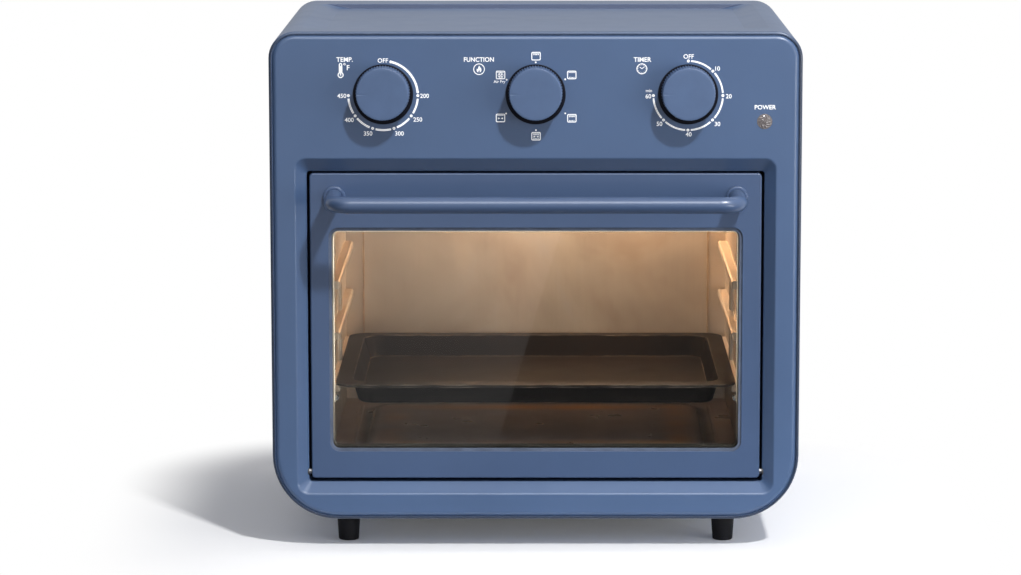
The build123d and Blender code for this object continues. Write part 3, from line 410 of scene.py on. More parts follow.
def sheetMetal(name, colour, metallic, roughness, stretch, heat=0.0, height=0.008, streak=0.06, folds=0.0,
               shadeHeight=None, panel=None):
    material, tree, surface = startFinish(name)
    grain = useGroup(tree, rolledGrain, Stretch=stretch, Height=height, Radius=0.0 if panel else 0.0003)
    tone = scaled(tree, colour, spread(tree, grain["Streak"], 0.3, 0.7, 1 - streak, 1 + streak))
    sheet = useGroup(tree, heatTint, Sheet=tone, Amount=heat)["Color"]
    if shadeHeight is not None:
        # painted shade along the lower edge, up to the height given
        dark = spread(tree, split(tree, objectPlace(tree))["Z"], shadeHeight, shadeHeight - 12 * mm)
        sheet = blendColour(tree, dark, sheet, over["lowEdgeShade"])
    if panel:
        sheet = panelShadeAndGlow(tree, sheet, panel)
    if folds:
        # painted highlight: folds and cut edges are brighter than the flats
        edge = useGroup(tree, edgeWearSheen, Radius=0.0006, Amount=folds, Scale=90.0)["Mask"]
        sheet = blendColour(tree, edge, sheet, over["edgeHighlight"])
    tree.links.new(sheet, surface.inputs["Base Color"])
    roughen(tree, surface, 30.0, roughness - 0.05, roughness + 0.06)
    surface.inputs["Metallic"].default_value = metallic
    tree.links.new(grain["Normal"], surface.inputs["Normal"])
    return material


def clearGlass(name, tint, roughness):
    # lamps shine through it, so that what is behind is lit
    material, tree, surface = startFinish(name)
    surface.inputs["Base Color"].default_value = tint
    surface.inputs["Transmission Weight"].default_value = 1.0
    surface.inputs["IOR"].default_value = 1.45
    roughen(tree, surface, 16.0, roughness, roughness + 0.02)
    through = addNode(tree, "BsdfTransparent", Color=tint)
    lamps = addNode(tree, "LightPath").outputs["Is Shadow Ray"]
    mixed = addNode(tree, "MixShader", _0=lamps, _1=surface.outputs["BSDF"], _2=through.outputs["BSDF"])
    showShader(tree, mixed.outputs["Shader"])
    return material


def bakedCoating(name, colour, roughness):
    # smooth dark enamel, a little browner in patches, with the lip paler from wear and a painted highlight
    material, tree, surface = startFinish(name)
    brown = tuple(min(1, part * share) for part, share in zip(colour[:3], (2.1, 1.6, 1.3))) + (1,)
    patched = blendColour(tree, cloud(tree, 11.0, 0.2, 0.8), colour, brown)
    wornSheen = useGroup(tree, edgeWearSheen, Radius=0.0012, Amount=0.55, Scale=60.0)["Mask"]
    tree.links.new(blendColour(tree, wornSheen, patched, over["paleLipSheen"]), surface.inputs["Base Color"])
    roughen(tree, surface, 24.0, roughness - 0.02, roughness + 0.03)
    surface.inputs["Specular IOR Level"].default_value = 0.025
    ripple = noiseNode(tree, objectPlace(tree), 160.0, 2.0)
    bump = addNode(tree, "Bump", Strength=1.0, Distance=0.0000015, Height=ripple)
    tree.links.new(bump.outputs["Normal"], surface.inputs["Normal"])
    return material


def softRubber(name, colour):
    material, tree, surface = startFinish(name)
    dusty = useGroup(tree, settledDust, Amount=0.15, Scale=200.0)["Mask"]
    tone = scaled(tree, colour, cloud(tree, 80.0, 0.85, 1.2))
    tree.links.new(blendColour(tree, dusty, tone, over["rubberDust"]), surface.inputs["Base Color"])
    roughen(tree, surface, 120.0, 0.55, 0.72)
    surface.inputs["Specular IOR Level"].default_value = 0.2
    pebbleSkin(tree, surface, 2600.0, 0.03, 0.0004)
    return material


def glowingBulb(name, tint, strength):
    material, tree, surface = startFinish(name)
    surface.inputs["Base Color"].default_value = tint
    surface.inputs["Emission Color"].default_value = tint
    surface.inputs["Emission Strength"].default_value = strength
    roughen(tree, surface, 60.0, 0.2, 0.35)
    return material


def printedInk(name, colour):
    material, tree, surface = startFinish(name)
    tree.links.new(scaled(tree, colour, cloud(tree, 400.0, 0.93, 1.0)), surface.inputs["Base Color"])
    roughen(tree, surface, 200.0, 0.42, 0.55)
    pebbleSkin(tree, surface, 1800.0, 0.01, 0.0)
    # a faint painted glow keeps the ink pale in shade
    surface.inputs["Emission Color"].default_value = colour
    surface.inputs["Emission Strength"].default_value = 0.28
    return material


slate = screenColour(75, 99, 136)
# the door's paint is a little darker than the case's: painted shade of the door's recess
slateDoorShade = screenColour(70, 91, 126)
slateWearSheen = screenColour(98, 117, 149)
# the grain's stretch along each axis, long along the smallest
upright, across, inward = (700.0, 700.0, 14.0), (14.0, 700.0, 700.0), (700.0, 14.0, 700.0)

floorLow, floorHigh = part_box("chamber_floor")
floorMiddle, floorHalf = (floorLow + floorHigh) / 2, (floorHigh - floorLow) / 2
# the floor's pressed panel carries painted shade on its border and painted warm light inside it
pressed = {"centre": Vector((floorMiddle.x, floorMiddle.y - 5 * mm, 0)),
           "half": (floorHalf.x - 23 * mm, floorHalf.y - 30 * mm, 0),
           "radius": 22 * mm, "spread": 10 * mm, "glowInset": 20 * mm, "glowSpread": 18 * mm}

finishes = {
    "case_paint": sprayedPaint("casePaint", slate, 0.34),
    "door_paint": sprayedPaint("doorPaint", slateDoorShade, 0.31),
    "knob_plastic": mouldedPlastic("knobPlastic", screenColour(79, 102, 139), 0.46, 2200.0),
    # near-black rings at the knobs' feet: dark plastic, which also stands in as painted shade under the knobs
    "ring_plastic": mouldedPlastic("ringPlastic", screenColour(6, 9, 24), 0.6, 2400.0, gloss=0.15),
    "chamber_steel": sheetMetal("chamberSteel", (0.60, 0.545, 0.49), 0.85, 0.36, upright,
                                heat=0.6, height=0.003, streak=0.02, folds=1.0),
    "chamber_floor_steel": sheetMetal("chamberFloorSteel", (0.47, 0.38, 0.36), 0.8, 0.32, inward,
                                      streak=0.03, panel=pressed),
    "tray_coating": bakedCoating("trayCoating", (0.006, 0.0055, 0.0055, 1), 0.44),
    "zinc_sheet": sheetMetal("zincSheet", (0.44, 0.45, 0.46), 0.9, 0.45, across, heat=0.08),
    "bright_steel": sheetMetal("brightSteel", (0.76, 0.77, 0.79), 1.0, 0.16, inward, height=0.002),
    "heater_sheath": sheetMetal("heaterSheath", (0.17, 0.15, 0.14), 0.7, 0.55, across, heat=0.4, height=0.02),
    "door_glass": clearGlass("doorGlass", (0.93, 0.95, 0.95, 1), 0.0),
    "lamp_glass": clearGlass("lampGlass", (1.0, 0.93, 0.82, 1), 0.05),
    "power_lens": mouldedPlastic("powerLens", screenColour(122, 116, 116), 0.2, 700.0, radius=0.0),
    "black_rubber": softRubber("blackRubber", (0.004, 0.004, 0.006)),
    "seal_silicone": softRubber("sealSilicone", screenColour(96, 106, 126)),
    "ceramic": mouldedPlastic("ceramic", (0.80, 0.78, 0.73), 0.3, 900.0),
    "bush_plastic": mouldedPlastic("bushPlastic", (0.055, 0.055, 0.06), 0.5, 2000.0),
    "motor_steel": sheetMetal("motorSteel", (0.32, 0.32, 0.33), 0.85, 0.45, (14.0, 14.0, 1600.0), height=0.05),
}
inkWhite = printedInk("inkWhite", (0.98, 0.985, 1.0, 1))
lampGlow = glowingBulb("lampGlow", (1.0, 0.72, 0.42, 1), 6.0)

for subpart in frame["record"]["subparts"]:
    data = nodes[subpart["node"]].data
    data.materials.clear()
    data.materials.append(finishes[subpart["material_slot"]])
nodes["lamp_bulb"].data.materials[0] = lampGlow
# the chamber's front frame takes the black rubber finish: painted shade in the door's gap
nodes["chamber_front_frame"].data.materials[0] = finishes["black_rubber"]
nodes["hinge_pins"].data.materials[0] = finishes["motor_steel"]

fasciaLow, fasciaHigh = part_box("front_fascia")
# painted shade on the fascia's front lip, stronger at the bottom than along the top
lip = {"centre": (fasciaLow + fasciaHigh) / 2,
       "half": ((fasciaHigh.x - fasciaLow.x) / 2, (fasciaHigh.z - fasciaLow.z) / 2, 0),
       "width": 1.9 * mm, "soft": 0.3 * mm, "lowRadius": 47.0 * mm, "highRadius": 19.0 * mm, "cornerBlend": 20 * mm,
       "low": 0.75, "high": 0.35, "topFrom": 12 * mm, "topTo": 2 * mm}
nodes["front_fascia"].data.materials[0] = sprayedPaint("fasciaPaint", slate, 0.34, rim=lip)

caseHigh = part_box("outer_case")[1]
# painted shade on the steep rear side of the dip in the top
topDip = {"amount": 0.75, "span": {"X": (0.0, caseHigh.x - 23 * mm), "Y": (panelY + 249.6 * mm, 0.9 * mm),
                                   "Z": (caseHigh.z - 2 * mm, 1.7 * mm)}}
nodes["outer_case"].data.materials[0] = sprayedPaint("wrapPaint", slate, 0.34, dip=topDip)

# the door's inner sheet: painted shade along its lower edge, below the window's foot
innerSheet = nodes["door_inner_panel"]
windowFoot = innerSheet.matrix_world.inverted() @ Vector((0, 0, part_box("door_glass")[0].z + 22 * mm))
innerSheet.data.materials[0] = sheetMetal("innerSheet", (0.76, 0.71, 0.63), 0.9, 0.42, across,
                                          heat=0.2, streak=0.02, shadeHeight=windowFoot.z)
print("finishes on:", len(finishes))


def addPiece(name, mesh, material, body, smooth=False):
    mesh.materials.append(material)
    for face in mesh.polygons:
        face.use_smooth = smooth
    piece = addObject(name, mesh)
    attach(piece, body)
    return piece


def toMesh(name, shape):
    bmesh.ops.recalc_face_normals(shape, faces=shape.faces)
    mesh = bpy.data.meshes.new(name)
    shape.to_mesh(mesh)
    shape.free()
    return mesh


# a knob's fluted side and pointer notch; its face is narrower than its foot by the skirt
knob = {"ridges": 60, "ridgeDepth": 0.8 * mm, "perRidge": 6, "proud": 0.2 * mm, "skirt": 1.0 * mm, "round": 0.7 * mm,
        "notchHalf": 0.45 * mm, "notchReach": 3.6 * mm, "notchDepth": 0.25 * mm, "faceDepth": 0.2 * mm}


def knobRadiusAt(angle, wanted, ridged):
    return wanted - ridged * knob["ridgeDepth"] * (0.5 - 0.5 * math.cos(knob["ridges"] * angle))


def knobRings(radius, front, back):
    # from the middle of the face to the rim at the panel: radius, depth, how far the ridges show
    skirt, turned = knob["skirt"], knob["round"]
    face, side = radius - skirt, back - front - turned
    rings = [(face * share, front, 0.0) for share in (0.2, 0.45, 0.7, 0.88)]
    rings += [(face - 0.5 * turned, front, 0.0), (face, front + 0.12 * turned, 0.0),
              (face + 0.35 * turned, front + 0.45 * turned, 0.1), (face + 0.5 * turned, front + turned, 0.3)]
    return rings + [(radius - (skirt - 0.5 * turned) * (1 - step) ** 1.6, front + turned + side * step,
                     min(1, 0.3 + 3 * step)) for step in (0.12, 0.3, 0.6, 1.0)]


def addKnob(name, node, body):
    low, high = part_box(node)
    centre = (low + high) / 2
    radius = (high.z - low.z) / 2 + knob["proud"]
    front, back = low.y, high.y
    count = knob["ridges"] * knob["perRidge"]
    shape = bmesh.new()
    loops = []
    for wanted, depth, ridged in knobRings(radius, front, back):
        loop = []
        for step in range(count):
            angle = 2 * math.pi * step / count
            x, z = around(0.0, 0.0, knobRadiusAt(angle, wanted, ridged), angle)
            y = depth
            inNotch = x < 0 and abs(z) < knob["notchHalf"] and -x > radius - knob["notchReach"]
            if inNotch and depth < front + knob["faceDepth"]:
                y += knob["notchDepth"]
            loop.append(shape.verts.new((centre.x + x, y, centre.z + z)))
        loops.append(loop)
    hub = shape.verts.new((centre.x, front, centre.z))
    for step in range(count):
        after = (step + 1) % count
        shape.faces.new((hub, loops[0][step], loops[0][after]))
        for inner, outer in zip(loops, loops[1:]):
            shape.faces.new((inner[step], outer[step], outer[after], inner[after]))
    shape.faces.new(loops[-1])
    piece = addPiece(name, toMesh(name, shape), finishes["knob_plastic"], body, smooth=True)
    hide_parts(node)


for dial in ("temperature", "function", "timer"):
    addKnob(dial + "Knob", dial + "_knob", dial + "_dial")
print("knobs turned")

# the printing, in metres; gaps between dots and arcs in degrees
inkLift, inkThickness = 0.02 * mm, 0.06 * mm
marks = {"arcRadius": 24.7 * mm, "dotRadius": 1.05 * mm, "dialDrop": 0.9 * mm, "gap": 5.2, "letter": 3.15 * mm,
         "heading": 3.3 * mm, "headingZ": 355.6 * mm, "headingBold": 0.027}


def dialCentre(dial):
    centre = middleOf(dial + "_knob")
    return centre.x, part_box("knob_rings")[0].z / 2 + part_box("knob_rings")[1].z / 2 - marks["dialDrop"]


def onDial(x, z, turn, radius=marks["arcRadius"]):
    # clockwise from 12 o'clock, in degrees
    return x + radius * math.sin(math.radians(turn)), z + radius * math.cos(math.radians(turn))


class Printer:
    # gathers flat shapes on the panel into one mesh; x to the right, z up, in metres
    def __init__(self):
        self.shape = bmesh.new()

    def fill(self, outline, rise=0.0):
        front = [self.shape.verts.new((x, panelY - inkLift - inkThickness - rise, z)) for x, z in outline]
        back = [self.shape.verts.new((x, panelY - inkLift, z)) for x, z in outline]
        self.shape.faces.new(front)
        self.shape.faces.new(back[::-1])
        for step in range(len(front)):
            after = (step + 1) % len(front)
            self.shape.faces.new((front[step], back[step], back[after], front[after]))

    def band(self, inner, outer):
        # the strip between two outlines that have the same number of points
        for step in range(len(inner)):
            after = (step + 1) % len(inner)
            self.fill([inner[step], inner[after], outer[after], outer[step]])

    def dot(self, x, z, radius, sides=20, rise=0.0):
        self.fill([around(x, z, radius, 2 * math.pi * step / sides) for step in range(sides)], rise)

    def ring(self, x, z, radius, width, sides=36):
        self.band(*[[around(x, z, r, 2 * math.pi * step / sides) for step in range(sides)]
                    for r in (radius - width / 2, radius + width / 2)])

    def arc(self, x, z, radius, width, start, end):
        count = max(3, int(abs(end - start) / 3))
        turns = [start + (end - start) * step / count for step in range(count + 1)]
        inner, outer = [[onDial(x, z, turn, r) for turn in turns] for r in (radius - width / 2, radius + width / 2)]
        self.fill(inner + outer[::-1])

    def bar(self, x0, z0, x1, z1, width):
        along = Vector((x1 - x0, z1 - z0)).normalized() * width / 2
        side = Vector((-along.y, along.x))
        self.fill([(x0 - side.x, z0 - side.y), (x1 - side.x, z1 - side.y),
                   (x1 + side.x, z1 + side.y), (x0 + side.x, z0 + side.y)])

    def frame(self, x, z, width, height, line, corner):
        loops = []
        for grow in (-line / 2, line / 2):
            loop = []
            halfWidth, halfHeight, turned = width / 2 + grow, height / 2 + grow, max(0.05 * mm, corner + grow)
            for quarter, (sideX, sideZ) in enumerate(((1, 1), (-1, 1), (-1, -1), (1, -1))):
                middle = x + sideX * (halfWidth - turned), z + sideZ * (halfHeight - turned)
                loop += [around(*middle, turned, math.pi / 2 * (quarter + step / 3)) for step in range(4)]
            loops.append(loop)
        self.band(*loops)

    def keyhole(self, x, top, bottom, tube, bulb, line):
        # the outline of a thermometer
        loops = []
        for shrink in (line, 0.0):
            r, big = tube - shrink, bulb - shrink
            start = math.pi - math.acos(r / big)
            loops.append([around(x, top, r, math.pi * step / 6) for step in range(7)]
                         + [around(x, bottom, big, start + (3 * math.pi - 2 * start) * step / 16) for step in range(17)])
        self.band(*loops)

    def teeth(self, x, z, width, height, count=4):
        # a row of points, up or down by the sign of height
        pitch = width / count
        for step in range(count):
            left = x - width / 2 + pitch * step
            self.fill([(left, z), (left + pitch, z), (left + pitch / 2, z + height)])

    def word(self, text, x, z, height, wide=1.0, bold=0.020):
        curve = bpy.data.curves.new("letters", "FONT")
        # capitals are 0.729 of the type's size
        curve.body, curve.size, curve.align_x, curve.align_y = text, height / 0.729, "CENTER", "CENTER"
        curve.offset, curve.resolution_u, curve.fill_mode = bold * height, 4, "FRONT"
        holder = addObject("letters", curve)
        bpy.context.view_layer.update()
        flat = bpy.data.meshes.new_from_object(holder)
        bpy.data.objects.remove(holder)
        bpy.data.curves.remove(curve)
        xs = [vert.co.x for vert in flat.vertices]
        ys = [vert.co.y for vert in flat.vertices]
        midX, midY = (min(xs) + max(xs)) / 2, (min(ys) + max(ys)) / 2
        letters = bmesh.new()
        letters.from_mesh(flat)
        bpy.data.meshes.remove(flat)
        bmesh.ops.remove_doubles(letters, verts=letters.verts, dist=1e-6)
        for vert in letters.verts:
            vert.co = Vector((x + (vert.co.x - midX) * wide, panelY - inkLift, z + vert.co.y - midY))
        solid = bmesh.ops.extrude_face_region(letters, geom=letters.faces[:])
        for part in solid["geom"]:
            if isinstance(part, bmesh.types.BMVert):
                part.co.y -= inkThickness
        made = bpy.data.meshes.new("letters")
        letters.to_mesh(made)
        letters.free()
        self.shape.from_mesh(made)
        bpy.data.meshes.remove(made)

    def heading(self, text, x, wide=1.0):
        self.word(text, x, marks["headingZ"], marks["heading"], wide, marks["headingBold"])

    def labels(self, places):
        for text, (x, z) in places.items():
            self.word(text, x * mm, z * mm, marks["letter"])

    def scale(self, x, z, start, pitch, count, width, gap):
        # dots pitch degrees apart, with an arc between neighbours
        for step in range(count):
            turn = start + pitch * step
            self.dot(*onDial(x, z, turn), marks["dotRadius"])
            if step:
                self.arc(x, z, marks["arcRadius"], width, turn - pitch + gap, turn - gap)

    def finish(self, name):
        addPiece(name, toMesh(name, self.shape), inkWhite, "body")


# the first arc has a blunt end at each side; the rest is dots and thinner arcs. Angles are in degrees
warmth = {"ends": (13, 84), "endRadius": 1.0 * mm, "endRise": 0.02 * mm, "firstArc": 1.6 * mm, "arc": 1.45 * mm,
          "start": 90, "pitch": 36, "count": 6, "endGap": 1.5}
warmthLabels = {"OFF": (-108.5, 354.9), "200": (-79.0, 329.7), "250": (-83.9, 312.8), "300": (-97.0, 302.8),
                "350": (-119.4, 302.8), "400": (-132.7, 312.5), "450": (-137.9, 329.7)}


def printTemperature():
    ink = Printer()
    x, z = dialCentre("temperature")
    gap = marks["gap"]
    ink.arc(x, z, marks["arcRadius"], warmth["firstArc"], warmth["ends"][0], warmth["start"] - gap - warmth["endGap"])
    for turn in warmth["ends"]:
        ink.dot(*onDial(x, z, turn), warmth["endRadius"], rise=warmth["endRise"])
    ink.scale(x, z, warmth["start"], warmth["pitch"], warmth["count"], warmth["arc"], gap)
    ink.labels(warmthLabels)
    ink.heading("TEMP.", -135.7 * mm)
    ink.word("F", -133.2 * mm, 349.8 * mm, 3.7 * mm)
    ink.ring(-135.8 * mm, 352.3 * mm, 0.62 * mm, 0.42 * mm, 16)
    # thermometer with its column
    stemX = -138.6 * mm
    ink.keyhole(stemX, 351.9 * mm, 344.6 * mm, 1.25 * mm, 2.2 * mm, 0.8 * mm)
    ink.bar(stemX, 344.2 * mm, stemX, 351.0 * mm, 0.9 * mm)
    ink.finish("temperatureMarks")


# the little oven in each picture: its frame, the shelf line near its top, and what is inside
icon = {"width": 6.0 * mm, "height": 5.4 * mm, "line": 0.64 * mm, "corner": 0.6 * mm, "shelf": 2.4 * mm,
        "shelfUp": 1.75 * mm, "shelfLine": 0.4 * mm, "teeth": 4.2 * mm, "dot": 0.62 * mm, "bladesDrop": 0.35 * mm}
# each place on the dial: its picture's middle, its dot, and what the picture shows
functions = [((0.3, 358.0), (0.1, 353.6), ("top",)), ((25.7, 344.6), (21.1, 341.5), ("bottom",)),
             ((25.8, 313.7), (21.1, 317.2), ("top", "bottom")), ((0.3, 300.8), (0.2, 305.2), ("top", "bow", "bottom")),
             ((-25.0, 313.9), (-21.0, 317.1), ("bow",)), ((-24.9, 344.6), (-20.6, 341.2), ("blades",))]
flame = [(0, 2.7), (0.7, 1.5), (1.5, 0.6), (1.8, -0.6), (1.3, -1.8), (0.4, -2.4), (0.55, -1.2), (0, -0.5), (-0.5, -1.3),
         (-0.5, -2.4), (-1.4, -1.7), (-1.8, -0.5), (-1.4, 0.5), (-0.8, -0.1), (-0.5, 1.2)]


def drawIcon(ink, x, z, shown):
    ink.frame(x, z, icon["width"], icon["height"], icon["line"], icon["corner"])
    shelfZ = z + icon["shelfUp"]
    ink.bar(x - icon["shelf"], shelfZ, x + icon["shelf"], shelfZ, icon["shelfLine"])
    if "top" in shown:
        ink.teeth(x, z + 1.3 * mm, icon["teeth"], -0.75 * mm)
    if "bottom" in shown:
        ink.teeth(x, z - 2.1 * mm, icon["teeth"], 0.85 * mm)
    if "bow" in shown:
        for side in (-1, 1):
            ink.fill([(x + side * 0.2 * mm, z - 0.3 * mm), (x + side * 1.6 * mm, z - 1.0 * mm),
                      (x + side * 1.9 * mm, z - 0.3 * mm), (x + side * 1.6 * mm, z + 0.4 * mm)])
    if "blades" in shown:
        hubZ = z - icon["bladesDrop"]
        ink.ring(x, hubZ, 1.75 * mm, 0.35 * mm, 20)
        for blade in range(4):
            angle = math.radians(45 + 90 * blade)
            ink.bar(*around(x, hubZ, 0.25 * mm, angle), *around(x, hubZ, 1.5 * mm, angle), 0.6 * mm)


def printFunction():
    ink = Printer()
    ink.heading("FUNCTION", -40.3 * mm, wide=0.94)
    # flame in a circle
    flameX, flameZ = -40.2 * mm, 348.7 * mm
    ink.ring(flameX, flameZ, 3.8 * mm, 0.6 * mm)
    ink.fill([(flameX + x * mm, flameZ + z * mm) for x, z in flame])
    for (iconX, iconZ), (dotX, dotZ), shown in functions:
        ink.dot(dotX * mm, dotZ * mm, icon["dot"])
        drawIcon(ink, iconX * mm, iconZ * mm, shown)
    ink.word("Air Fry", -25.7 * mm, 339.6 * mm, 2.1 * mm, bold=0.014)
    ink.finish("functionMarks")


minutes = {"start": 0, "pitch": 45, "count": 7, "arc": 1.25 * mm, "lessGap": 0.6}
minuteLabels = {"OFF": (108.7, 357.8), "10": (129.3, 349.2), "20": (137.4, 329.4), "30": (129.5, 309.6),
                "40": (109.0, 302.2), "50": (88.2, 309.7), "60": (80.2, 329.4)}
clock = {"x": 75.5 * mm, "z": 349.0 * mm, "radius": 3.55 * mm, "line": 0.6 * mm, "tickFrom": 2.5 * mm,
         "tickTo": 3.1 * mm, "tick": 0.35 * mm}


def printTimer():
    ink = Printer()
    ink.scale(*dialCentre("timer"), minutes["start"], minutes["pitch"], minutes["count"], minutes["arc"],
              marks["gap"] - minutes["lessGap"])
    ink.labels(minuteLabels)
    ink.word("min", 80.6 * mm, 333.4 * mm, 2.3 * mm, bold=0.01)
    ink.heading("TIMER", 75.9 * mm)
    # clock face with its hands
    x, z = clock["x"], clock["z"]
    ink.ring(x, z, clock["radius"], clock["line"])
    ink.fill([(x, z - 0.35 * mm), (x + 2.0 * mm, z + 1.4 * mm), (x + 1.7 * mm, z + 1.7 * mm),
              (x, z + 0.3 * mm), (x - 1.4 * mm, z + 1.5 * mm), (x - 1.7 * mm, z + 1.2 * mm)])
    for step in range(12):
        angle = math.radians(30 * step)
        ink.bar(*around(x, z, clock["tickFrom"], angle), *around(x, z, clock["tickTo"], angle), clock["tick"])
    ink.finish("timerMarks")


def printPower():
    ink = Printer()
    ink.word("POWER", 163.5 * mm, 321.6 * mm, 3.2 * mm, bold=0.024)
    ink.finish("powerMark")


printTemperature(), printFunction(), printTimer(), printPower()
print("marks printed")

# the power lamp: small facets, crowned like a lens
jewel = {"radius": 5.5 * mm, "rings": 5, "sides": 20, "crown": 1.3 * mm, "facet": 0.38 * mm, "sunk": 0.05 * mm}


def addJewel():
    low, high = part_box("power_lens")
    centre = (low + high) / 2
    front = low.y + jewel["sunk"]
    sides = jewel["sides"]
    shape = bmesh.new()
    loops = []
    for ring in range(jewel["rings"], 0, -1):
        share = ring / jewel["rings"]
        loop = []
        for step in range(sides):
            x, z = around(centre.x, centre.z, share * jewel["radius"], 2 * math.pi * (step + 0.5 * (ring % 2)) / sides)
            facet = jewel["facet"] if (step + ring) % 2 and share < 1 else 0.0
            loop.append(shape.verts.new((x, front + jewel["crown"] * share ** 2 + facet, z)))
        loops.append(loop)
    loops.insert(0, [shape.verts.new((vert.co.x, panelY, vert.co.z)) for vert in loops[0]])
    hub = shape.verts.new((centre.x, front, centre.z))
    for outer, inner in zip(loops, loops[1:]):
        for step in range(sides):
            after = (step + 1) % sides
            shape.faces.new((outer[step], outer[after], inner[step]))
            shape.faces.new((outer[after], inner[after], inner[step]))
    for step in range(sides):
        shape.faces.new((loops[-1][step], loops[-1][(step + 1) % sides], hub))
    shape.faces.new(loops[0])
    piece = addPiece("powerJewel", toMesh("powerJewel", shape), finishes["power_lens"], "body")
    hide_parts("power_lens")


addJewel()
print("power lamp cut")

# a pale bead of sealant behind the glass, along the top and the sides, with a painted glow that stands for the oven's
# light
bead = {"overlap": 8.0 * mm, "lip": 3.0 * mm, "corner": 4.0 * mm, "thick": 0.55 * mm, "deep": 0.8 * mm, "down": 0.125,
        "off": 0.02 * mm, "colour": (0.86, 0.74, 0.58, 1), "glow": 0.45}


def addBead():
    low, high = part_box("door_glass")
    half = high.x - bead["overlap"] - bead["lip"]
    top = high.z - bead["overlap"] - bead["lip"]
    front = high.y + bead["off"]
    back = front + bead["deep"]
    loops = []
    for shrink in (0.0, bead["thick"]):
        r = bead["corner"] - shrink
        path = [(-half + shrink, top - bead["down"])]
        for start, side in ((math.pi, -1), (math.pi / 2, 1)):
            middle = side * (half - bead["corner"])
            path += [around(middle, top - bead["corner"], r, start - math.pi / 2 * step / 6) for step in range(7)]
        loops.append(path + [(half - shrink, top - bead["down"])])
    shape = bmesh.new()
    rails = [[shape.verts.new((x, y, z)) for x, z in path]
             for path, y in ((loops[0], front), (loops[1], front), (loops[1], back), (loops[0], back))]
    for one, two in zip(rails, rails[1:] + rails[:1]):
        for step in range(len(one) - 1):
            shape.faces.new((one[step], one[step + 1], two[step + 1], two[step]))
    for end in (0, -1):
        shape.faces.new([rail[end] for rail in rails])
    material, tree, surface = startFinish("sealantBead")
    surface.inputs["Base Color"].default_value = bead["colour"]
    roughen(tree, surface, 200.0, 0.3, 0.45)
    surface.inputs["Emission Color"].default_value = bead["colour"]
    piece = addPiece("glassBead", toMesh("glassBead", shape), material, "door")
    # its glow, which stands for the oven's light, fades out towards the lower end
    foot = piece.matrix_world.inverted() @ Vector((0, 0, top - bead["down"]))
    fade = spread(tree, split(tree, objectPlace(tree))["Z"], foot.z, foot.z + bead["down"], 0.0, bead["glow"])
    tree.links.new(fade, surface.inputs["Emission Strength"])


addBead()
print("window beaded")

room = {"floorHalf": 9.0, "clearGap": 0.045, "fadeGap": 0.10, "floorColour": (0.93, 0.93, 0.935, 1), "floorGlow": 0.06,
        "ambient": (0.46, 0.46, 0.475, 1)}
key = {"power": 92.0, "reach": 3.6, "size": 0.20, "from": (0.30, -0.60, 0.74)}
# lamps that only show as gloss: power, width, height, place
softBoxes = {"barLight": (38.0, 2.2, 0.85, (0.35, -1.75, 1.95)), "rightLight": (10.0, 0.9, 0.34, (1.5, -1.8, 0.18))}
# a weak lamp that only lights, without gloss
fill = {"power": 2.8, "size": 0.5, "place": (0.72, -0.60, 0.30)}
cavity = {"power": 1.2, "colour": (1.0, 0.72, 0.49), "toRight": 0.025, "width": 0.21, "depth": 0.03, "fromBack": 0.05,
          "fromRoof": 6 * mm, "tilt": (0, -0.03, 0.1)}
# where the boards that lie on the floor meet: the left and right ends, the near and far lines, the slanted edge
stage = {"left": -1.6, "right": 1.6, "frontY": -1.80, "turnY": -0.38, "edgeFront": 0.032, "edgeTurn": -0.036, "z": 0.004}


def flatBoard(left, right, front, back, z):
    return ((left, front, z), (right, front, z), (right, back, z), (left, back, z))


# boards that gloss, soft light or both see: brightness at the first and third corner's depth, who sees them, corners
boards = {
    "leftBoard": (0.10, 0.10, "both", ((-0.95, -1.5, 0.0), (-0.95, 0.1, 0.0), (-0.95, 0.1, 0.95), (-0.95, -1.5, 0.95))),
    "rearBoard": (0.46, 0.46, "gloss", ((-1.6, 1.3, 0.0), (1.6, 1.3, 0.0), (1.6, 1.3, 1.1), (-1.6, 1.3, 1.1))),
    "bounceBoard": (0.12, 0.12, "soft", flatBoard(-2.5, 2.5, -3.0, -0.22, 0.003)),
    "nearBoard": (0.05, 0.05, "gloss", flatBoard(stage["left"], stage["right"], stage["turnY"], -0.15, stage["z"])),
    "glassBoardLeft": (1.0, 0.30, "gloss", (
        (stage["left"], stage["frontY"], stage["z"]), (stage["edgeFront"], stage["frontY"], stage["z"]),
        (stage["edgeTurn"], stage["turnY"], stage["z"]), (stage["left"], stage["turnY"], stage["z"]))),
    "glassBoardRight": (0.08, 0.08, "gloss", (
        (stage["edgeFront"], stage["frontY"], stage["z"]), (stage["right"], stage["frontY"], stage["z"]),
        (stage["right"], stage["turnY"], stage["z"]), (stage["edgeTurn"], stage["turnY"], stage["z"])))}


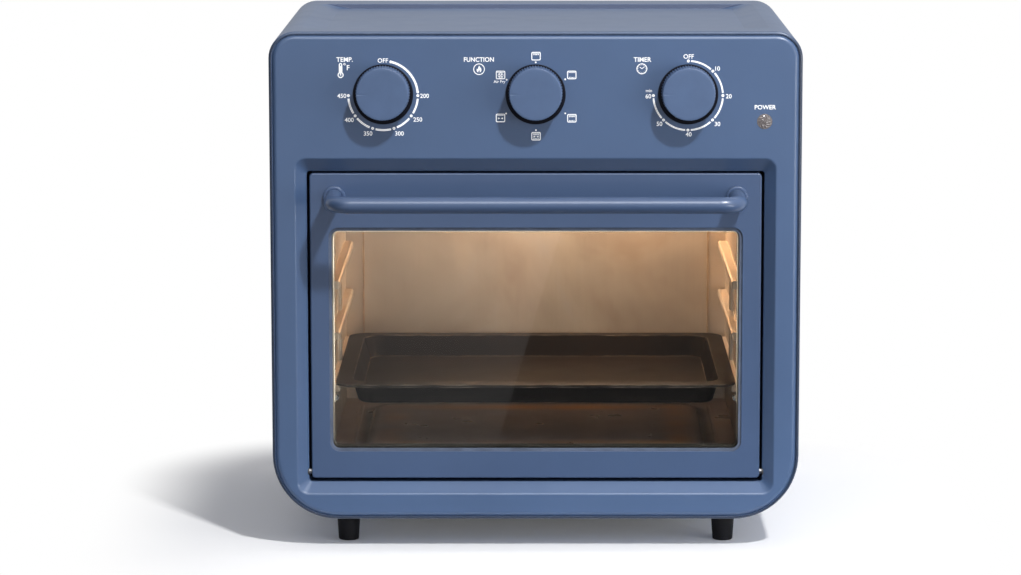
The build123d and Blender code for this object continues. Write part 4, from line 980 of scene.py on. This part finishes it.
def addRoom():
    half = room["floorHalf"]
    mesh = bpy.data.meshes.new("tableTop")
    mesh.from_pydata(flatBoard(-half, half, -half, half, 0), [], [(0, 1, 2, 3)])
    table = addObject("tableTop", mesh)
    material, tree, surface = startFinish("tableSurface")
    surface.inputs["Base Color"].default_value = room["floorColour"]
    surface.inputs["Roughness"].default_value = 0.9
    surface.inputs["Specular IOR Level"].default_value = 0.1
    surface.inputs["Emission Color"].default_value = room["floorColour"]
    surface.inputs["Emission Strength"].default_value = room["floorGlow"]
    # away from the object's footprint the table goes over into the plain background
    low, high = cadBox
    centre = ((low.x + high.x) / 2, (low.y + high.y) / 2, 0)
    footprint = (high.x - centre[0] - room["clearGap"], high.y - centre[1] - room["clearGap"], 0)
    distance = useGroup(tree, outlineDistance, Place=vectorNode(tree, "SUBTRACT", objectPlace(tree), centre),
                        Half=footprint, Radius=0.0)["Distance"]
    start = 2 * room["clearGap"]
    far = spread(tree, distance, start, start + room["fadeGap"], kind="SMOOTHSTEP")
    seen = times(tree, far, addNode(tree, "LightPath").outputs["Is Camera Ray"])
    plain = addNode(tree, "Emission", Color=(1, 1, 1, 1), Strength=1.0)
    mixed = addNode(tree, "MixShader", _0=seen, _1=surface.outputs["BSDF"], _2=plain.outputs["Emission"])
    showShader(tree, mixed.outputs["Shader"])
    mesh.materials.append(material)


def addWorld():
    world = bpy.data.worlds.new("softRoom")
    bpy.context.scene.world = world
    world.use_nodes = True
    tree = world.node_tree
    tree.nodes.clear()
    tree.nodes.new("ShaderNodeOutputWorld")
    # white to the camera, to gloss and through glass; a softer grey for what it lights
    rays = addNode(tree, "LightPath").outputs
    clear = mathNode(tree, "MAXIMUM", rays["Is Camera Ray"],
                     mathNode(tree, "MAXIMUM", rays["Is Glossy Ray"], rays["Is Transmission Ray"]))
    ambient = addNode(tree, "Background", Color=room["ambient"], Strength=1.0)
    white = addNode(tree, "Background", Color=(1, 1, 1, 1), Strength=1.0)
    mixed = addNode(tree, "MixShader", _0=clear, _1=ambient.outputs["Background"], _2=white.outputs["Background"])
    showShader(tree, mixed.outputs["Shader"])


def addBoard(name, first, third, seenBy, corners):
    mesh = bpy.data.meshes.new(name)
    mesh.from_pydata(corners, [], [(0, 1, 2, 3)])
    board = addObject(name, mesh)
    material, tree = startMaterial(name)
    level = spread(tree, split(tree, objectPlace(tree))["Y"], corners[0][1], corners[2][1], first, third)
    glow = addNode(tree, "Emission", Color=(1, 1, 1, 1), Strength=level)
    # from behind it is clear, so that it does not shade the table
    behind = addNode(tree, "NewGeometry").outputs["Backfacing"]
    through = addNode(tree, "BsdfTransparent")
    shown = addNode(tree, "MixShader", _0=behind, _1=glow.outputs["Emission"], _2=through.outputs["BSDF"])
    showShader(tree, shown.outputs["Shader"])
    mesh.materials.append(material)
    board.visible_camera = board.visible_shadow = False
    board.visible_diffuse = board.visible_transmission = seenBy != "gloss"
    board.visible_glossy = seenBy != "soft"


def addLamp(name, power, size, place, aim, colour=(1, 1, 1), sizeY=None):
    data = bpy.data.lights.new(name, "AREA")
    data.energy, data.color, data.size = power, colour, size
    if sizeY:
        data.shape, data.size_y = "RECTANGLE", sizeY
    lamp = addObject(name, data)
    lamp.location = place
    lamp.rotation_euler = (Vector(aim) - Vector(place)).to_track_quat("-Z", "Y").to_euler()
    lamp.visible_camera = False
    return lamp


addRoom()
addWorld()
target = (cadBox[0] + cadBox[1]) / 2
addLamp("keyLamp", key["power"], key["size"], target + Vector(key["from"]) * key["reach"], target)
for name, (power, width, height, place) in softBoxes.items():
    addLamp(name, power, width, Vector(place), target, sizeY=height).visible_diffuse = False
addLamp("rightFill", fill["power"], fill["size"], Vector(fill["place"]), target).visible_glossy = False
for name, parts in boards.items():
    addBoard(name, *parts)
roofPlace = Vector((cavity["toRight"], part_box("chamber_back_wall")[0].y - cavity["fromBack"],
                    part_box("chamber_roof")[0].z - cavity["fromRoof"]))
addLamp("ovenLamp", cavity["power"], cavity["width"], roofPlace, roofPlace - Vector(cavity["tilt"]), cavity["colour"],
        cavity["depth"])

scene = bpy.context.scene
scene.view_settings.view_transform = "Standard"
print("room lit")
